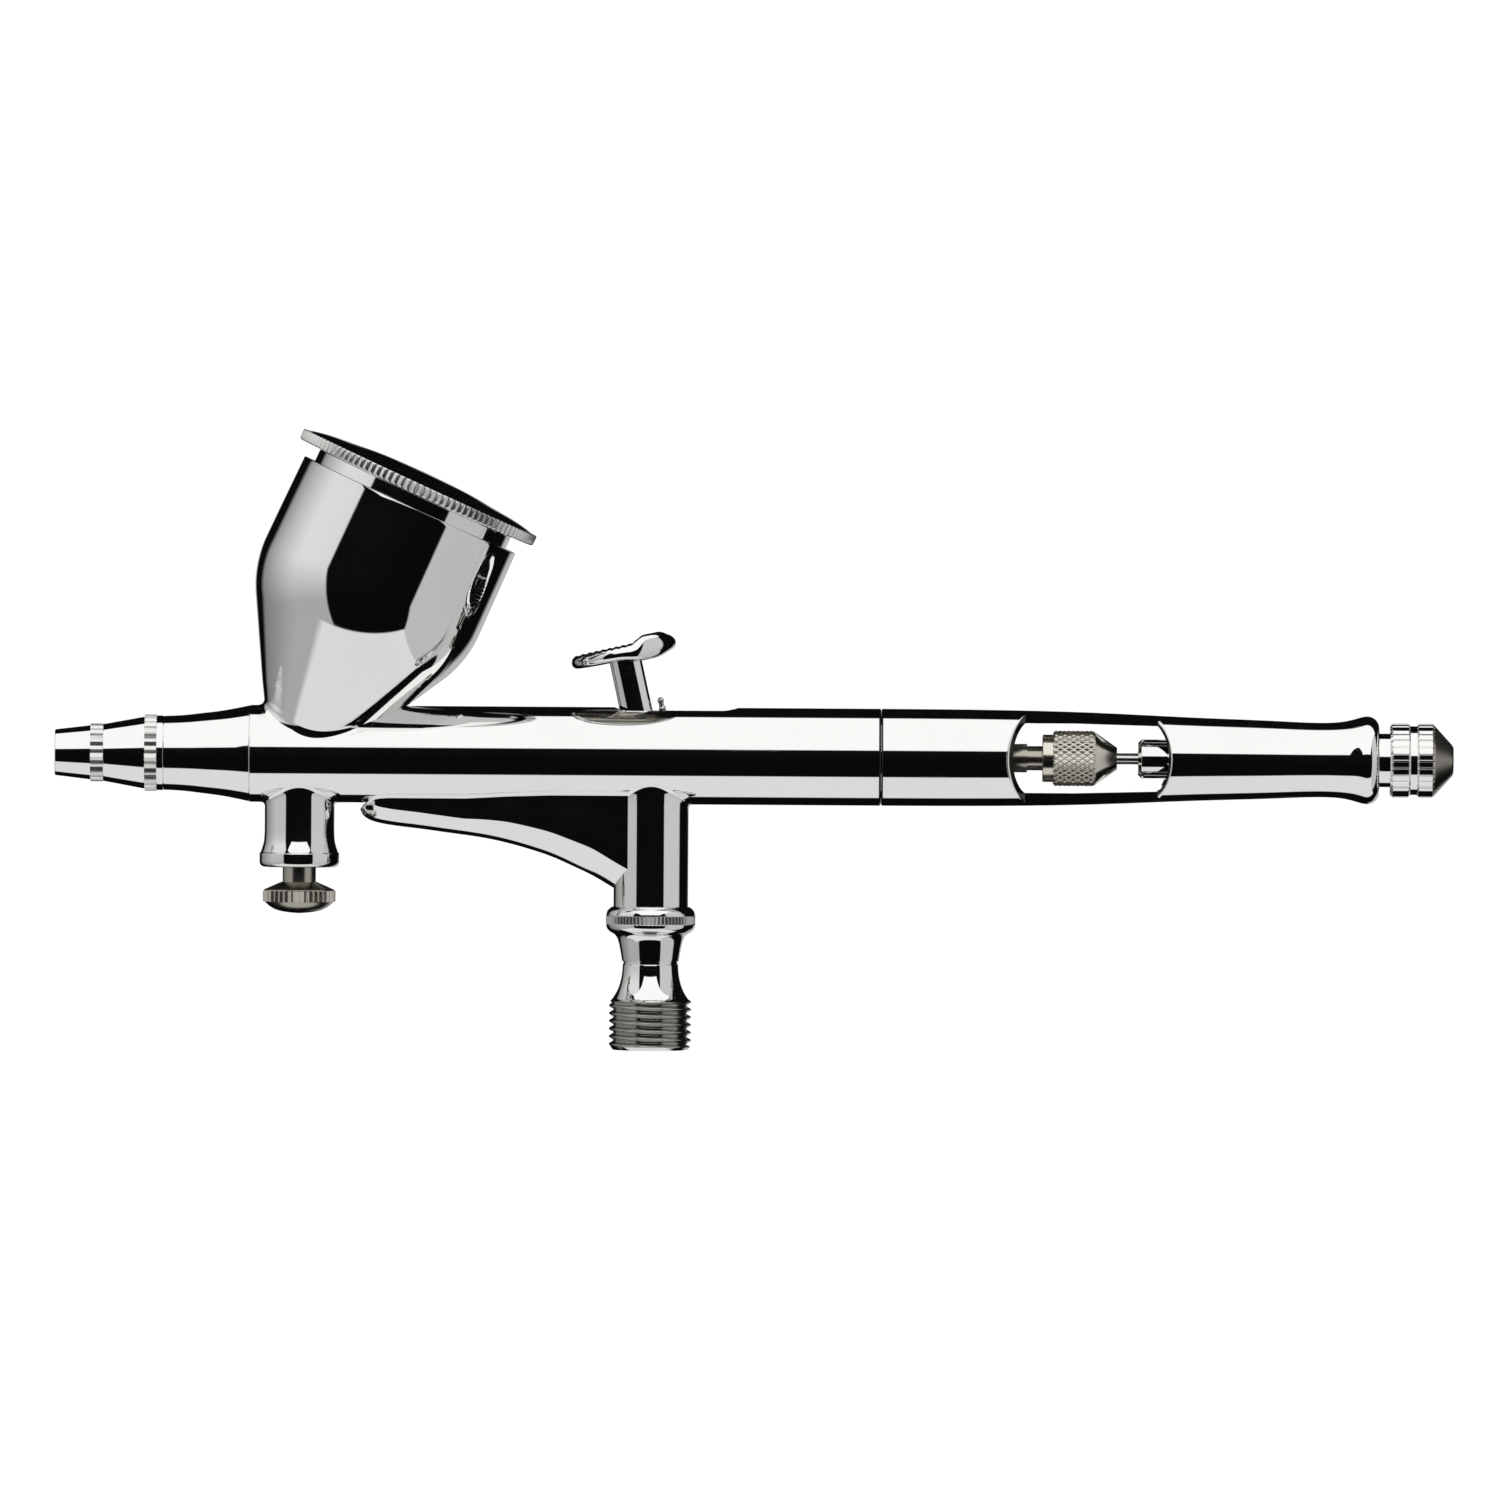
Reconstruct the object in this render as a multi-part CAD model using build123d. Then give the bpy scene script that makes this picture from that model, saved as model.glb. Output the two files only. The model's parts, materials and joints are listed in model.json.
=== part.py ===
"""Double-action, gravity-fed airbrush with a tilted paint cup, an air control valve and a cut-away handle.

Millimetres. X runs along the barrel, the nozzle at -X and the needle stop knob at +X. Z is up.
The pieces are drawn about the barrel's axis, with X = 0 on the axis of the air valve, and are then raised
by axis_height, so that the origin is in the middle of the hose thread, where the airbrush is held.
"""
import os
from math import cos, pi, sin

from build123d import *

axis_height = 31.6

# ---- barrel ----
barrel_r = 5.72
barrel_front = -47.4
barrel_rear = 26.9
spigot_r = 4.75
spigot_end = 31.0
head_socket_r = 4.0
head_socket_end = -44.6
fluid_r = 1.3
packing_bore_r = 2.05
packing_bore_front = -25.9
chamber_r = 3.6
chamber_front = -6.0
chamber_rear = 14.0
rear_bore_r = 4.2
slot_half = 2.1
slot_front = -4.5
slot_rear = 10.2
air_hole_r = 0.5
air_hole_z = -4.75

# ---- paint cup, on an axis that leans towards the handle ----
cup_lean = 24.5
cup_foot_x = -42.1
cup_mouth = 32.4
cup_r = 13.8
cup_lip_r = 12.4
cup_lip_top = 33.9
cup_lip_bore = 11.6
feed_r = 1.6
lid_r = 15.15
lid_bottom = 34.0
lid_rim_top = 35.35
lid_top = 36.6

# ---- nose ----
needle_cap_tip = -70.4
needle_cap_rear = -64.7
nozzle_cap_rear = -58.4
head_front = -58.4
nose_spigot_r = 3.45

# ---- needle and its clamp ----
needle_r = 0.65
needle_tip = -68.9
needle_end = 62.0
guide_front = 4.0
guide_r = 1.5
guide_flange_r = 3.4
guide_end = 50.8
nut_front = 46.1
nut_rear = 54.9

# ---- levers ----
lever_lean = 12.5
lever_pivot_z = -3.0
foot_r = 1.1
stem_r = 1.9
pad_r = 6.3
pad_bottom = 14.7
pad_top = 16.4
rocker_pivot_x = 3.2
rocker_pivot_z = -2.4
rocker_nose = 5.54
rocker_tip = 9.2
rocker_tip_forward = -0.2
rocker_shoulder = 8.2

# ---- air valve ----
post_r = 4.42
post_bottom = -17.8
web_half = 2.7
piston_r = 2.2
piston_bore_r = 2.25
piston_top = -3.3
piston_bottom = -11.8
post_bore_end = -11.9
socket_r = 3.65
valve_top = -12.9
valve_end = -34.7
inlet_thread_r = 4.864
inlet_bore_r = 2.6

# ---- air control valve under the cup ----
mac_x = -41.5
mac_bottom = -13.35
mac_bore_r = 2.6
mac_bore_top = -7.0
mac_tip_bore_r = 1.18

# ---- handle and needle stop ----
handle_front = 27.1
handle_rear = 85.8
window_front = 42.05
window_rear = 61.3
window_half = 2.3
cutter_r = 15.0
cutter_flare = 0.35
stop_front = 57.4
stop_rod_r = 2.29
stop_thread_r = 3.15
stop_bore_r = 3.2
knob_front = 87.1
knob_rear = 92.3
knob_end = 94.6


# ---- drawing helpers: a = place along the axis, r = distance from it ----
def straight(axis, *points):
    """A straight-sided stretch of outline."""
    if axis == Axis.X:
        return Polyline(*[(a, 0, r) for a, r in points])
    return Polyline(*[(r, 0, a) for a, r in points])


def smooth(axis, *points):
    """A smoothly curved stretch of outline."""
    if axis == Axis.X:
        return Spline(*[(a, 0, r) for a, r in points])
    return Spline(*[(r, 0, a) for a, r in points])


def spin(axis, *stretches):
    """A turned solid from the stretches of half its outline."""
    edges = []
    for stretch in stretches:
        edges.extend(stretch.edges())
    first = stretches[0] @ 0
    last = stretches[-1] @ 1
    if (first - last).length > 0.0001:
        edges.extend(Line(last, first).edges())
    return revolve(make_face(edges), axis)


def turned(axis, *points):
    """A turned solid with a straight-sided outline."""
    return spin(axis, straight(axis, *points))


def rod(axis, start, end, r):
    """A plain round bar."""
    return turned(axis, (start, 0), (start, r), (end, r), (end, 0))


def knurled(axis, start, end, r, depth, count, chamfer=0.0):
    """A bar with straight grooves around it and, if asked, chamfered ends."""
    corners = []
    for tooth in range(count):
        crest = 2 * pi * tooth / count
        root = crest + pi / count
        corners.append((r * cos(crest), r * sin(crest)))
        corners.append(((r - depth) * cos(root), (r - depth) * sin(root)))
    bar = extrude(make_face(Polyline(*corners, close=True)), end - start)
    if axis == Axis.X:
        bar = Pos(start, 0, 0) * Rot(0, 90, 0) * bar
    else:
        bar = Pos(0, 0, start) * bar
    if chamfer > 0:
        low = (start, r - chamfer)
        high = (end, r - chamfer)
        envelope = turned(axis, (start, 0), low, (start + chamfer, r), (end - chamfer, r), high, (end, 0))
        bar = bar & envelope
    return bar


def cross_bar(x, z, r, half):
    """A round bar lying across the airbrush, along Y."""
    return Pos(x, 0, z) * Rot(90, 0, 0) * Cylinder(r, 2 * half)


def block(x0, x1, half, z0, z1):
    """A box centred on the Y = 0 plane."""
    return Pos((x0 + x1) / 2, 0, (z0 + z1) / 2) * Box(x1 - x0, 2 * half, z1 - z0)


def ring_seal(axis, place, ring_r, section_r):
    """A round-section seal ring."""
    if axis == Axis.X:
        return Pos(place, 0, 0) * Rot(0, 90, 0) * Torus(ring_r, section_r)
    return Pos(0, 0, place) * Torus(ring_r, section_r)


def coil(length, turns, ring_r, wire_r):
    """A coil spring standing on Z = 0."""
    rise = length - 2 * wire_r
    path = Pos(0, 0, wire_r) * Helix(rise / turns, rise, ring_r)
    section = Plane(origin=path @ 0, z_dir=path % 0) * Circle(wire_r)
    return sweep(section, path)


def on_cup_axis(shape):
    """Puts a shape drawn about Z, from the barrel's axis upwards, on the cup's leaning axis."""
    return Pos(cup_foot_x, 0, 0) * Rot(0, cup_lean, 0) * shape


def leaned(shape, x, z):
    """Leans a lever drawn upright about its pivot forward, and puts the pivot in place."""
    return Pos(x, 0, z) * Rot(0, -lever_lean, 0) * shape


# ---- nose ----
def make_needle_cap():
    """The short cone that shields the needle's point, screwed on the nozzle cap."""
    outside = turned(
        Axis.X,
        (needle_cap_tip, 0),
        (needle_cap_tip, 2.6),
        (needle_cap_tip + 0.1, 2.7),
        (-66.2, 3.2),
        (needle_cap_rear, 3.2),
        (needle_cap_rear, 0),
    )
    grip = knurled(Axis.X, -66.2, needle_cap_rear, 3.45, 0.18, 24, 0.1)
    return outside + grip - rod(Axis.X, needle_cap_tip, -67.2, 2.0) - rod(Axis.X, -67.2, needle_cap_rear, 2.45)


def make_nozzle_cap():
    """The cone that guides the air over the nozzle."""
    outside = turned(
        Axis.X,
        (-67.1, 0),
        (-67.1, 2.4),
        (needle_cap_rear, 2.4),
        (needle_cap_rear, 3.35),
        (-60.0, 4.22),
        (nozzle_cap_rear, 4.22),
        (nozzle_cap_rear, 0),
    )
    grip = knurled(Axis.X, -59.8, nozzle_cap_rear, 4.5, 0.2, 30, 0.1)
    air_cone = turned(Axis.X, (-67.2, 0), (-67.2, 0.9), (-66.4, 0.9), (-61.6, 2.9), (-61.6, 0))
    return outside + grip - air_cone - rod(Axis.X, -61.6, nozzle_cap_rear, 3.5)


def make_nozzle():
    """The paint nozzle: a fine cone with a threaded shank."""
    outside = turned(
        Axis.X,
        (-67.5, 0),
        (-67.5, 0.38),
        (-66.3, 0.55),
        (-62.6, 1.5),
        (-62.6, 1.95),
        (-61.6, 1.95),
        (-61.6, 1.2),
        (-58.6, 1.2),
        (-58.6, 0),
    )
    bore = turned(Axis.X, (-67.5, 0), (-67.5, 0.2), (-58.6, 0.78), (-58.6, 0))
    return outside - bore


def make_head():
    """The flared head that holds the nozzle and the cap, screwed into the barrel."""
    flare = spin(
        Axis.X,
        straight(Axis.X, (-61.4, 0), (-61.4, nose_spigot_r), (head_front, nose_spigot_r), (head_front, 4.4)),
        straight(Axis.X, (head_front, 4.4), (-57.6, 4.4), (-57.6, 4.34)),
        smooth(Axis.X, (-57.6, 4.34), (-55.2, 4.47), (-51.0, 4.98), (barrel_front, barrel_r)),
        straight(
            Axis.X,
            (barrel_front, barrel_r),
            (barrel_front, 3.95),
            (-46.3, 3.95),
            (-46.3, 3.25),
            (-45.4, 3.25),
            (-45.4, 3.95),
            (-44.8, 3.95),
            (-44.8, 0),
        ),
    )
    head = flare - rod(Axis.X, -61.4, -58.5, 1.25) - rod(Axis.X, -58.5, -44.8, fluid_r)
    for quarter in range(4):
        slant = Pos(-47.2, 0, -4.75) * Rot(0, -90 + 10.04, 0) * Cylinder(0.35, 40)
        head -= Rot(quarter * 90, 0, 0) * slant
    return head


# ---- barrel and what is soldered to it ----
def make_barrel():
    """The barrel with all its bores, the lever slot and the spigot for the handle."""
    barrel = rod(Axis.X, barrel_front, barrel_rear, barrel_r) + rod(Axis.X, barrel_rear, spigot_end, spigot_r)
    barrel -= rod(Axis.X, barrel_front, head_socket_end, head_socket_r)
    barrel -= rod(Axis.X, head_socket_end, packing_bore_front, fluid_r)
    barrel -= rod(Axis.X, packing_bore_front, chamber_front, packing_bore_r)
    barrel -= rod(Axis.X, chamber_front, chamber_rear, chamber_r)
    barrel -= rod(Axis.X, chamber_rear, spigot_end, rear_bore_r)
    barrel -= block(slot_front + slot_half, slot_rear - slot_half, slot_half, 0, 8)
    for end in (slot_front + slot_half, slot_rear - slot_half):
        barrel -= Pos(end, 0, 4) * Cylinder(slot_half, 8)
    barrel -= on_cup_axis(rod(Axis.Z, 0, 10, feed_r))
    barrel -= rod(Axis.Z, -6, 0, piston_bore_r)
    barrel -= Pos(0, 0, air_hole_z) * rod(Axis.X, barrel_front, -13.0, air_hole_r)
    barrel -= diagonal_air_hole()
    barrel -= Pos(mac_x, 0, 0) * rod(Axis.Z, -6, -4.2, mac_tip_bore_r)
    return barrel


def diagonal_air_hole():
    """The slanting air way from the valve chamber up to the barrel's own air way."""
    rise = air_hole_z - (-12.4)
    run = 14.0 - 3.0
    way = Edge.make_line((-3.0, 0, -12.4), (-14.0, 0, -12.4 + rise))
    return sweep(Plane(origin=(-3.0, 0, -12.4), z_dir=(-run, 0, rise)) * Circle(0.6), way)


def make_paint_cup():
    """The open cup, its funnel shaped to sit astride the barrel."""
    outside = spin(
        Axis.Z,
        straight(Axis.Z, (0, 0), (0, 3.6), (11.2, 9.9)),
        smooth(Axis.Z, (11.2, 9.9), (14.7, 11.8), (19.0, 13.3), (23.6, 13.83), (cup_mouth, 13.6)),
        straight(
            Axis.Z,
            (cup_mouth, 13.6),
            (cup_mouth, cup_lip_r),
            (cup_lip_top, cup_lip_r),
            (cup_lip_top, cup_lip_bore),
            (28.6, cup_lip_bore),
        ),
        straight(Axis.Z, (28.6, cup_lip_bore), (27.2, 13.0), (23.0, 13.0)),
        smooth(Axis.Z, (23.0, 13.0), (17.5, 11.9), (12.5, 8.6), (8.4, 4.2), (7.0, feed_r)),
        straight(Axis.Z, (7.0, feed_r), (0, feed_r)),
    )
    return on_cup_axis(outside) - rod(Axis.X, -60, 0, barrel_r)


def make_cup_lid():
    """The push-in lid with a grooved edge and a breather hole."""
    crown = spin(
        Axis.Z,
        straight(Axis.Z, (lid_rim_top - 0.2, 0), (lid_rim_top - 0.2, lid_r - 0.5), (lid_rim_top, lid_r - 0.7)),
        smooth(
            Axis.Z,
            (lid_rim_top, lid_r - 0.7),
            (lid_top - 0.75, 12),
            (lid_top - 0.18, 6),
            (lid_top, 0),
        ),
    )
    edge = knurled(Axis.Z, lid_bottom, lid_rim_top, lid_r, 0.2, 120, 0.2)
    plug = turned(Axis.Z, (29.8, 10.9), (29.8, 11.4), (30.0, 11.55), (lid_bottom, 11.55), (lid_bottom, 10.9))
    hollow = rod(Axis.Z, 33.0, lid_bottom + 0.8, 10.9)
    return on_cup_axis(crown + edge + plug - hollow - rod(Axis.Z, 33, 38, 0.6))


def make_air_post():
    """The valve post with the finger rest that runs forward from it under the barrel."""
    top = -3.0
    core = Spline(
        (-31.6, 0, -5.44),
        (-23.36, 0, -6.79),
        (-16.1, 0, -7.99),
        (-10.5, 0, -9.78),
        (-5.9, 0, -11.8),
        (-2.8, 0, -13.4),
        (0, 0, -14.8),
    )
    sides = Polyline((0, 0, -14.8), (0, 0, top), (-31.6, 0, top), (-31.6, 0, -5.44))
    web = extrude(make_face(core.edges() + sides.edges()), web_half, both=True)
    web += sweep(Plane(origin=core @ 0, z_dir=core % 0) * Circle(web_half), core)
    web += Pos(-31.6, 0, -5.44) * Sphere(web_half)
    web += Pos(-31.6, 0, -5.44) * Cylinder(web_half, 4, align=(Align.CENTER, Align.CENTER, Align.MIN))
    post = rod(Axis.Z, post_bottom, top, post_r) + web
    post -= rod(Axis.X, -60, 40, barrel_r)
    post -= rod(Axis.Z, post_bore_end, 0, piston_bore_r)
    post -= rod(Axis.Z, post_bottom, post_bore_end, socket_r)
    post -= diagonal_air_hole()
    return post


def make_mac_boss():
    """The bell-shaped boss of the air control valve."""
    bell = spin(
        Axis.Z,
        straight(Axis.Z, (-3, 0), (-3, 4.13), (-9.6, 4.13)),
        smooth(Axis.Z, (-9.6, 4.13), (-10.6, 4.25), (-11.5, 4.55)),
        straight(
            Axis.Z,
            (-11.5, 4.55),
            (-11.7, 4.7),
            (-13.1, 4.7),
            (mac_bottom, 4.4),
            (mac_bottom, mac_bore_r),
            (mac_bore_top, mac_bore_r),
            (mac_bore_top, mac_tip_bore_r),
            (-3, mac_tip_bore_r),
            (-3, 0),
        ),
    )
    bell = Pos(mac_x, 0, 0) * (bell - rod(Axis.Z, -8, 0, mac_tip_bore_r))
    return bell - rod(Axis.X, -60, 0, barrel_r)


def make_mac_screw():
    """The control screw: pointed tip, seal groove, thread and knob in one piece."""
    stem = turned(
        Axis.Z,
        (-5.6, 0),
        (-5.6, 0.3),
        (-6.6, 1.1),
        (-7.9, 1.1),
        (-7.9, 2.5),
        (-8.2, 2.5),
        (-8.2, 1.9),
        (-9.1, 1.9),
        (-9.1, 2.5),
        (-12.0, 2.5),
        (-12.3, 1.97),
        (-15.1, 1.97),
        (-15.1, 0),
    )
    knob_top = turned(Axis.Z, (-15.1, 0), (-15.1, 2.0), (-16.0, 4.2), (-16.2, 4.2), (-16.2, 0))
    rim = knurled(Axis.Z, -17.4, -16.1, 4.3, 0.2, 40, 0.12)
    foot = spin(
        Axis.Z,
        straight(Axis.Z, (-17.3, 0), (-17.3, 4.1)),
        smooth(Axis.Z, (-17.3, 4.1), (-18.1, 3.2), (-18.8, 0)),
    )
    return Pos(mac_x, 0, 0) * (stem + knob_top + rim + foot)


# ---- levers ----
def make_main_lever():
    """The trigger: round foot, forked shank around the needle, stem and dished finger pad."""
    shape = cross_bar(0, 0, foot_r, 1.7)
    shape += block(-1.1, 1.1, 1.5, 0.3, 2.8)
    shape += block(-1.3, 1.9, 1.9, 2.6, 7.8)
    shape += rod(Axis.Z, 7.6, pad_bottom + 0.2, stem_r)
    shape -= block(-3, 3, 0.8, 1.8, 6.4)
    pad = spin(
        Axis.Z,
        straight(Axis.Z, (pad_bottom, 0), (pad_bottom, pad_r - 0.5)),
        smooth(Axis.Z, (pad_bottom, pad_r - 0.5), (pad_bottom + 0.75, pad_r), (pad_top - 0.15, pad_r - 0.35)),
        smooth(Axis.Z, (pad_top - 0.15, pad_r - 0.35), (pad_top, pad_r - 0.8), (pad_top - 0.2, pad_r - 1.3)),
        smooth(Axis.Z, (pad_top - 0.2, pad_r - 1.3), (pad_top - 0.6, 2.5), (pad_top - 0.75, 0)),
    )
    for groove in range(-4, 5):
        pad -= Pos(groove, 0, pad_top + 0.05) * Rot(90, 0, 0) * Cylinder(0.22, 7.5)
    return leaned(shape + pad, 0, lever_pivot_z)


def make_aux_lever():
    """The rocker between the trigger and the needle's guide."""
    shape = cross_bar(0, 0, 0.7, 1.8)
    shape += block(-0.5, 0.5, 1.5, 0, rocker_nose + 0.6)
    shape += cross_bar(0, rocker_nose, 0.6, 1.2)
    shape -= block(-2, 2, 0.85, 1.3, 3.6)
    shape += Pos(rocker_tip_forward, 0, 0) * rod(Axis.Z, rocker_nose, rocker_tip, 0.3)
    shape += Pos(rocker_tip_forward, 0, rocker_shoulder) * Sphere(0.42)
    shape += Pos(rocker_tip_forward, 0, rocker_tip) * Sphere(0.38)
    return leaned(shape, rocker_pivot_x, rocker_pivot_z)


# ---- needle, clamp and return spring ----
def make_needle():
    """The needle, tapered to its point."""
    return turned(
        Axis.X,
        (needle_tip, 0),
        (needle_tip, 0.03),
        (-58.0, needle_r),
        (needle_end - 0.4, needle_r),
        (needle_end, 0.3),
        (needle_end, 0),
    )


def make_needle_packing():
    """The soft bearing that keeps paint out of the lever chamber."""
    return rod(Axis.X, packing_bore_front, -22.9, 2.0) - rod(Axis.X, packing_bore_front, -22.9, 0.7)


def make_packing_screw():
    """The hollow screw that squeezes the needle packing."""
    screw = rod(Axis.X, -22.85, -15.0, 2.0) - rod(Axis.X, -22.85, -15.0, 0.8)
    return screw - block(-16.0, -14.9, 3, -0.35, 0.35)


def make_chucking_guide():
    """The tube that carries the needle back: flange, step and split end."""
    guide = rod(Axis.X, guide_front, guide_front + 1.0, guide_flange_r)
    finger = block(2.65, guide_front + 0.5, 1.5, 2.5, 4.0) & rod(Axis.X, 2, 5, guide_flange_r)
    guide += finger
    guide += rod(Axis.X, guide_front, 42.6, guide_r)
    guide += rod(Axis.X, 42.6, 44.3, 1.68)
    guide += rod(Axis.X, 44.3, guide_end, 1.43)
    guide -= rod(Axis.X, 0, 60, 0.7)
    return guide - block(47.0, 60, 3, -0.15, 0.15)


def make_chuck_nut():
    """The grooved nut that clamps the needle in the guide's split end."""
    nut = turned(
        Axis.X,
        (nut_front, 0),
        (nut_front, 2.65),
        (nut_front + 0.15, 2.79),
        (47.35, 2.79),
        (47.35, 3.0),
        (52.4, 3.0),
        (nut_rear, 1.25),
        (nut_rear, 0),
    )
    nut += knurled(Axis.X, 47.35, 52.4, 3.3, 0.25, 26, 0.25)
    return nut - rod(Axis.X, nut_front, 51.2, 1.48) - rod(Axis.X, 51.2, nut_rear, 0.7)


def make_needle_spring():
    """The needle's return spring."""
    return Pos(5.05, 0, 0) * Rot(0, 90, 0) * coil(18.9, 11, 2.4, 0.25)


def make_spring_case():
    """The housing of the return spring, screwed into the back of the barrel."""
    case = rod(Axis.X, 14.05, 27.0, 4.15) + rod(Axis.X, 27.0, 34.0, 3.6)
    return case - rod(Axis.X, 14, 35, 2.9)


def make_tension_screw():
    """The hollow screw that sets the return spring's tension."""
    screw = rod(Axis.X, 24.0, 35.0, 2.85) + knurled(Axis.X, 34.3, 36.8, 3.3, 0.2, 24)
    return screw - rod(Axis.X, 24, 37, 1.6)


# ---- air valve ----
def make_valve_piston():
    """The plunger the trigger's foot rests on."""
    piston = turned(
        Axis.Z,
        (piston_bottom, 0),
        (piston_bottom, 1.6),
        (piston_bottom + 0.5, piston_r),
        (-9.3, piston_r),
        (-9.3, 1.6),
        (-8.5, 1.6),
        (-8.5, piston_r),
        (piston_top, piston_r),
        (piston_top, 0),
    )
    return piston - cross_bar(0, lever_pivot_z, foot_r + 0.05, 3)


def make_valve_body():
    """The valve body with its grooved collar and the threaded hose inlet."""
    outline = spin(
        Axis.Z,
        straight(
            Axis.Z,
            (valve_top, 2.6),
            (valve_top, 3.6),
            (-16.5, 3.6),
            (-16.5, 3.0),
            (-17.3, 3.0),
            (-17.3, 3.6),
            (post_bottom, 3.6),
            (post_bottom, 4.45),
            (-18.4, 5.0),
            (-20.2, 5.0),
            (-21.0, 3.8),
            (-24.2, 3.36),
            (-24.3, 3.2),
            (-24.6, 3.2),
            (-24.9, 3.3),
        ),
        smooth(Axis.Z, (-24.9, 3.3), (-26.8, 3.62), (-28.7, 4.5)),
        straight(
            Axis.Z,
            (-28.7, 4.5),
            (-29.0, inlet_thread_r),
            (-34.3, inlet_thread_r),
            (valve_end, 4.38),
            (valve_end, inlet_bore_r),
            (-27.2, inlet_bore_r),
            (-27.2, 2.4),
            (-16.5, 2.4),
            (-16.5, 1.1),
            (-15.5, 1.1),
            (-15.5, 2.6),
            (valve_top, 2.6),
        ),
    )
    collar = knurled(Axis.Z, -20.2, -18.4, 5.27, 0.15, 72, 0.1) - rod(Axis.Z, -20.3, -18.3, 4.0)
    return outline + collar


def make_valve_plunger():
    """The stem and head that lift off the seat when the trigger is pressed."""
    return turned(
        Axis.Z,
        (-11.9, 0),
        (-11.9, 0.7),
        (-17.0, 0.7),
        (-17.0, 1.9),
        (-18.0, 1.9),
        (-18.0, 0.7),
        (-25.5, 0.7),
        (-25.5, 0),
    )


def make_valve_seal():
    """The rubber washer between the plunger's head and the seat."""
    return rod(Axis.Z, -17.0, -16.52, 1.9) - rod(Axis.Z, -17.1, -16.4, 0.72)


def make_valve_spring():
    """The spring that closes the air valve."""
    return Pos(0, 0, -24.55) * coil(6.5, 5, 1.5, 0.25)


def make_valve_guide_screw():
    """The perforated screw under the valve spring."""
    screw = rod(Axis.Z, -27.0, -24.6, 2.35) - rod(Axis.Z, -27.1, -24.5, 0.8)
    for hole in range(3):
        screw -= Rot(0, 0, hole * 120) * Pos(1.55, 0, -26) * Cylinder(0.4, 4)
    return screw


# ---- handle and needle stop ----
def window_cutter(side):
    """What the mill takes away on one side: a flat floor, and bowed ends that open outwards."""
    depth = 6
    wide_r = cutter_r + cutter_flare * depth
    reach = cutter_r + cutter_flare * (5.4 - window_half)
    bowed = Rot(-90 * side, 0, 0) * Cone(cutter_r, wide_r, depth)
    middle_y = side * (window_half + depth / 2)
    front_end = Pos(window_front + reach, middle_y, 0) * bowed
    rear_end = Pos(window_rear - reach, middle_y, 0) * bowed
    return front_end & rear_end


def make_handle():
    """The hollow tail, necked towards the knob, with the window milled through its sides."""
    outside = spin(
        Axis.X,
        straight(Axis.X, (handle_front, 4.8), (handle_front, 5.6), (handle_front + 0.12, barrel_r)),
        smooth(
            Axis.X,
            (handle_front + 0.12, barrel_r),
            (38.7, 5.68),
            (52.9, 5.39),
            (64.7, 4.89),
            (73.9, 4.54),
            (79.0, 4.39),
            (81.2, 4.5),
            (83.2, 4.93),
            (84.4, 5.17),
        ),
        smooth(Axis.X, (84.4, 5.17), (85.3, 4.9), (handle_rear, 4.3)),
        straight(
            Axis.X,
            (handle_rear, 4.3),
            (handle_rear, stop_bore_r),
            (70.0, stop_bore_r),
            (61.1, 4.5),
            (50.0, 4.75),
            (31.2, 4.75),
            (31.2, 4.8),
            (handle_front, 4.8),
        ),
    )
    for side in (-1, 1):
        outside -= window_cutter(side)
    return outside


def make_stop_screw():
    """The needle stop: front rod, screw and knob in one piece, hollow for the needle's tail."""
    stem = turned(
        Axis.X,
        (stop_front, 0),
        (stop_front, 1.9),
        (stop_front + 0.4, stop_rod_r),
        (74.0, stop_rod_r),
        (74.3, stop_thread_r),
        (75.55, stop_thread_r),
        (75.55, 2.55),
        (76.45, 2.55),
        (76.45, stop_thread_r),
        (knob_front, stop_thread_r),
        (knob_front, 4.0),
        (knob_rear - 0.4, 4.0),
        (knob_rear, 4.1),
        (knob_end, 1.75),
        (knob_end, 0),
    )
    for start, end in ((knob_front, 89.35), (90.45, knob_rear)):
        stem += knurled(Axis.X, start, end, 4.35, 0.3, 32, 0.3)
    return stem - rod(Axis.X, stop_front, 68.0, 0.9)


def main():
    """Builds every piece and writes it to its own file."""
    pieces = {
        "needle_cap": make_needle_cap(),
        "nozzle_cap": make_nozzle_cap(),
        "nozzle": make_nozzle(),
        "head": make_head(),
        "head_oring": ring_seal(Axis.X, -45.85, 3.625, 0.365),
        "barrel": make_barrel(),
        "paint_cup": make_paint_cup(),
        "cup_lid": make_cup_lid(),
        "air_post": make_air_post(),
        "mac_boss": make_mac_boss(),
        "mac_screw": make_mac_screw(),
        "mac_oring": Pos(mac_x, 0, 0) * ring_seal(Axis.Z, -8.65, 2.25, 0.34),
        "main_lever": make_main_lever(),
        "aux_lever": make_aux_lever(),
        "needle": make_needle(),
        "needle_packing": make_needle_packing(),
        "packing_screw": make_packing_screw(),
        "chucking_guide": make_chucking_guide(),
        "chuck_nut": make_chuck_nut(),
        "needle_spring": make_needle_spring(),
        "spring_case": make_spring_case(),
        "tension_screw": make_tension_screw(),
        "valve_piston": make_valve_piston(),
        "piston_oring": ring_seal(Axis.Z, -8.9, 1.925, 0.315),
        "valve_body": make_valve_body(),
        "valve_body_oring": ring_seal(Axis.Z, -16.9, 3.325, 0.315),
        "valve_plunger": make_valve_plunger(),
        "valve_seal": make_valve_seal(),
        "valve_spring": make_valve_spring(),
        "valve_guide_screw": make_valve_guide_screw(),
        "handle": make_handle(),
        "stop_screw": make_stop_screw(),
        "stop_oring": ring_seal(Axis.X, 76.0, 2.875, 0.315),
    }
    os.makedirs("parts", exist_ok=True)
    for name, piece in pieces.items():
        export_step(Pos(0, 0, axis_height) * piece, f"parts/{name}.step")


main()
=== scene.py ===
"""The looks of a double-action, gravity-fed airbrush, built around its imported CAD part."""

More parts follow.
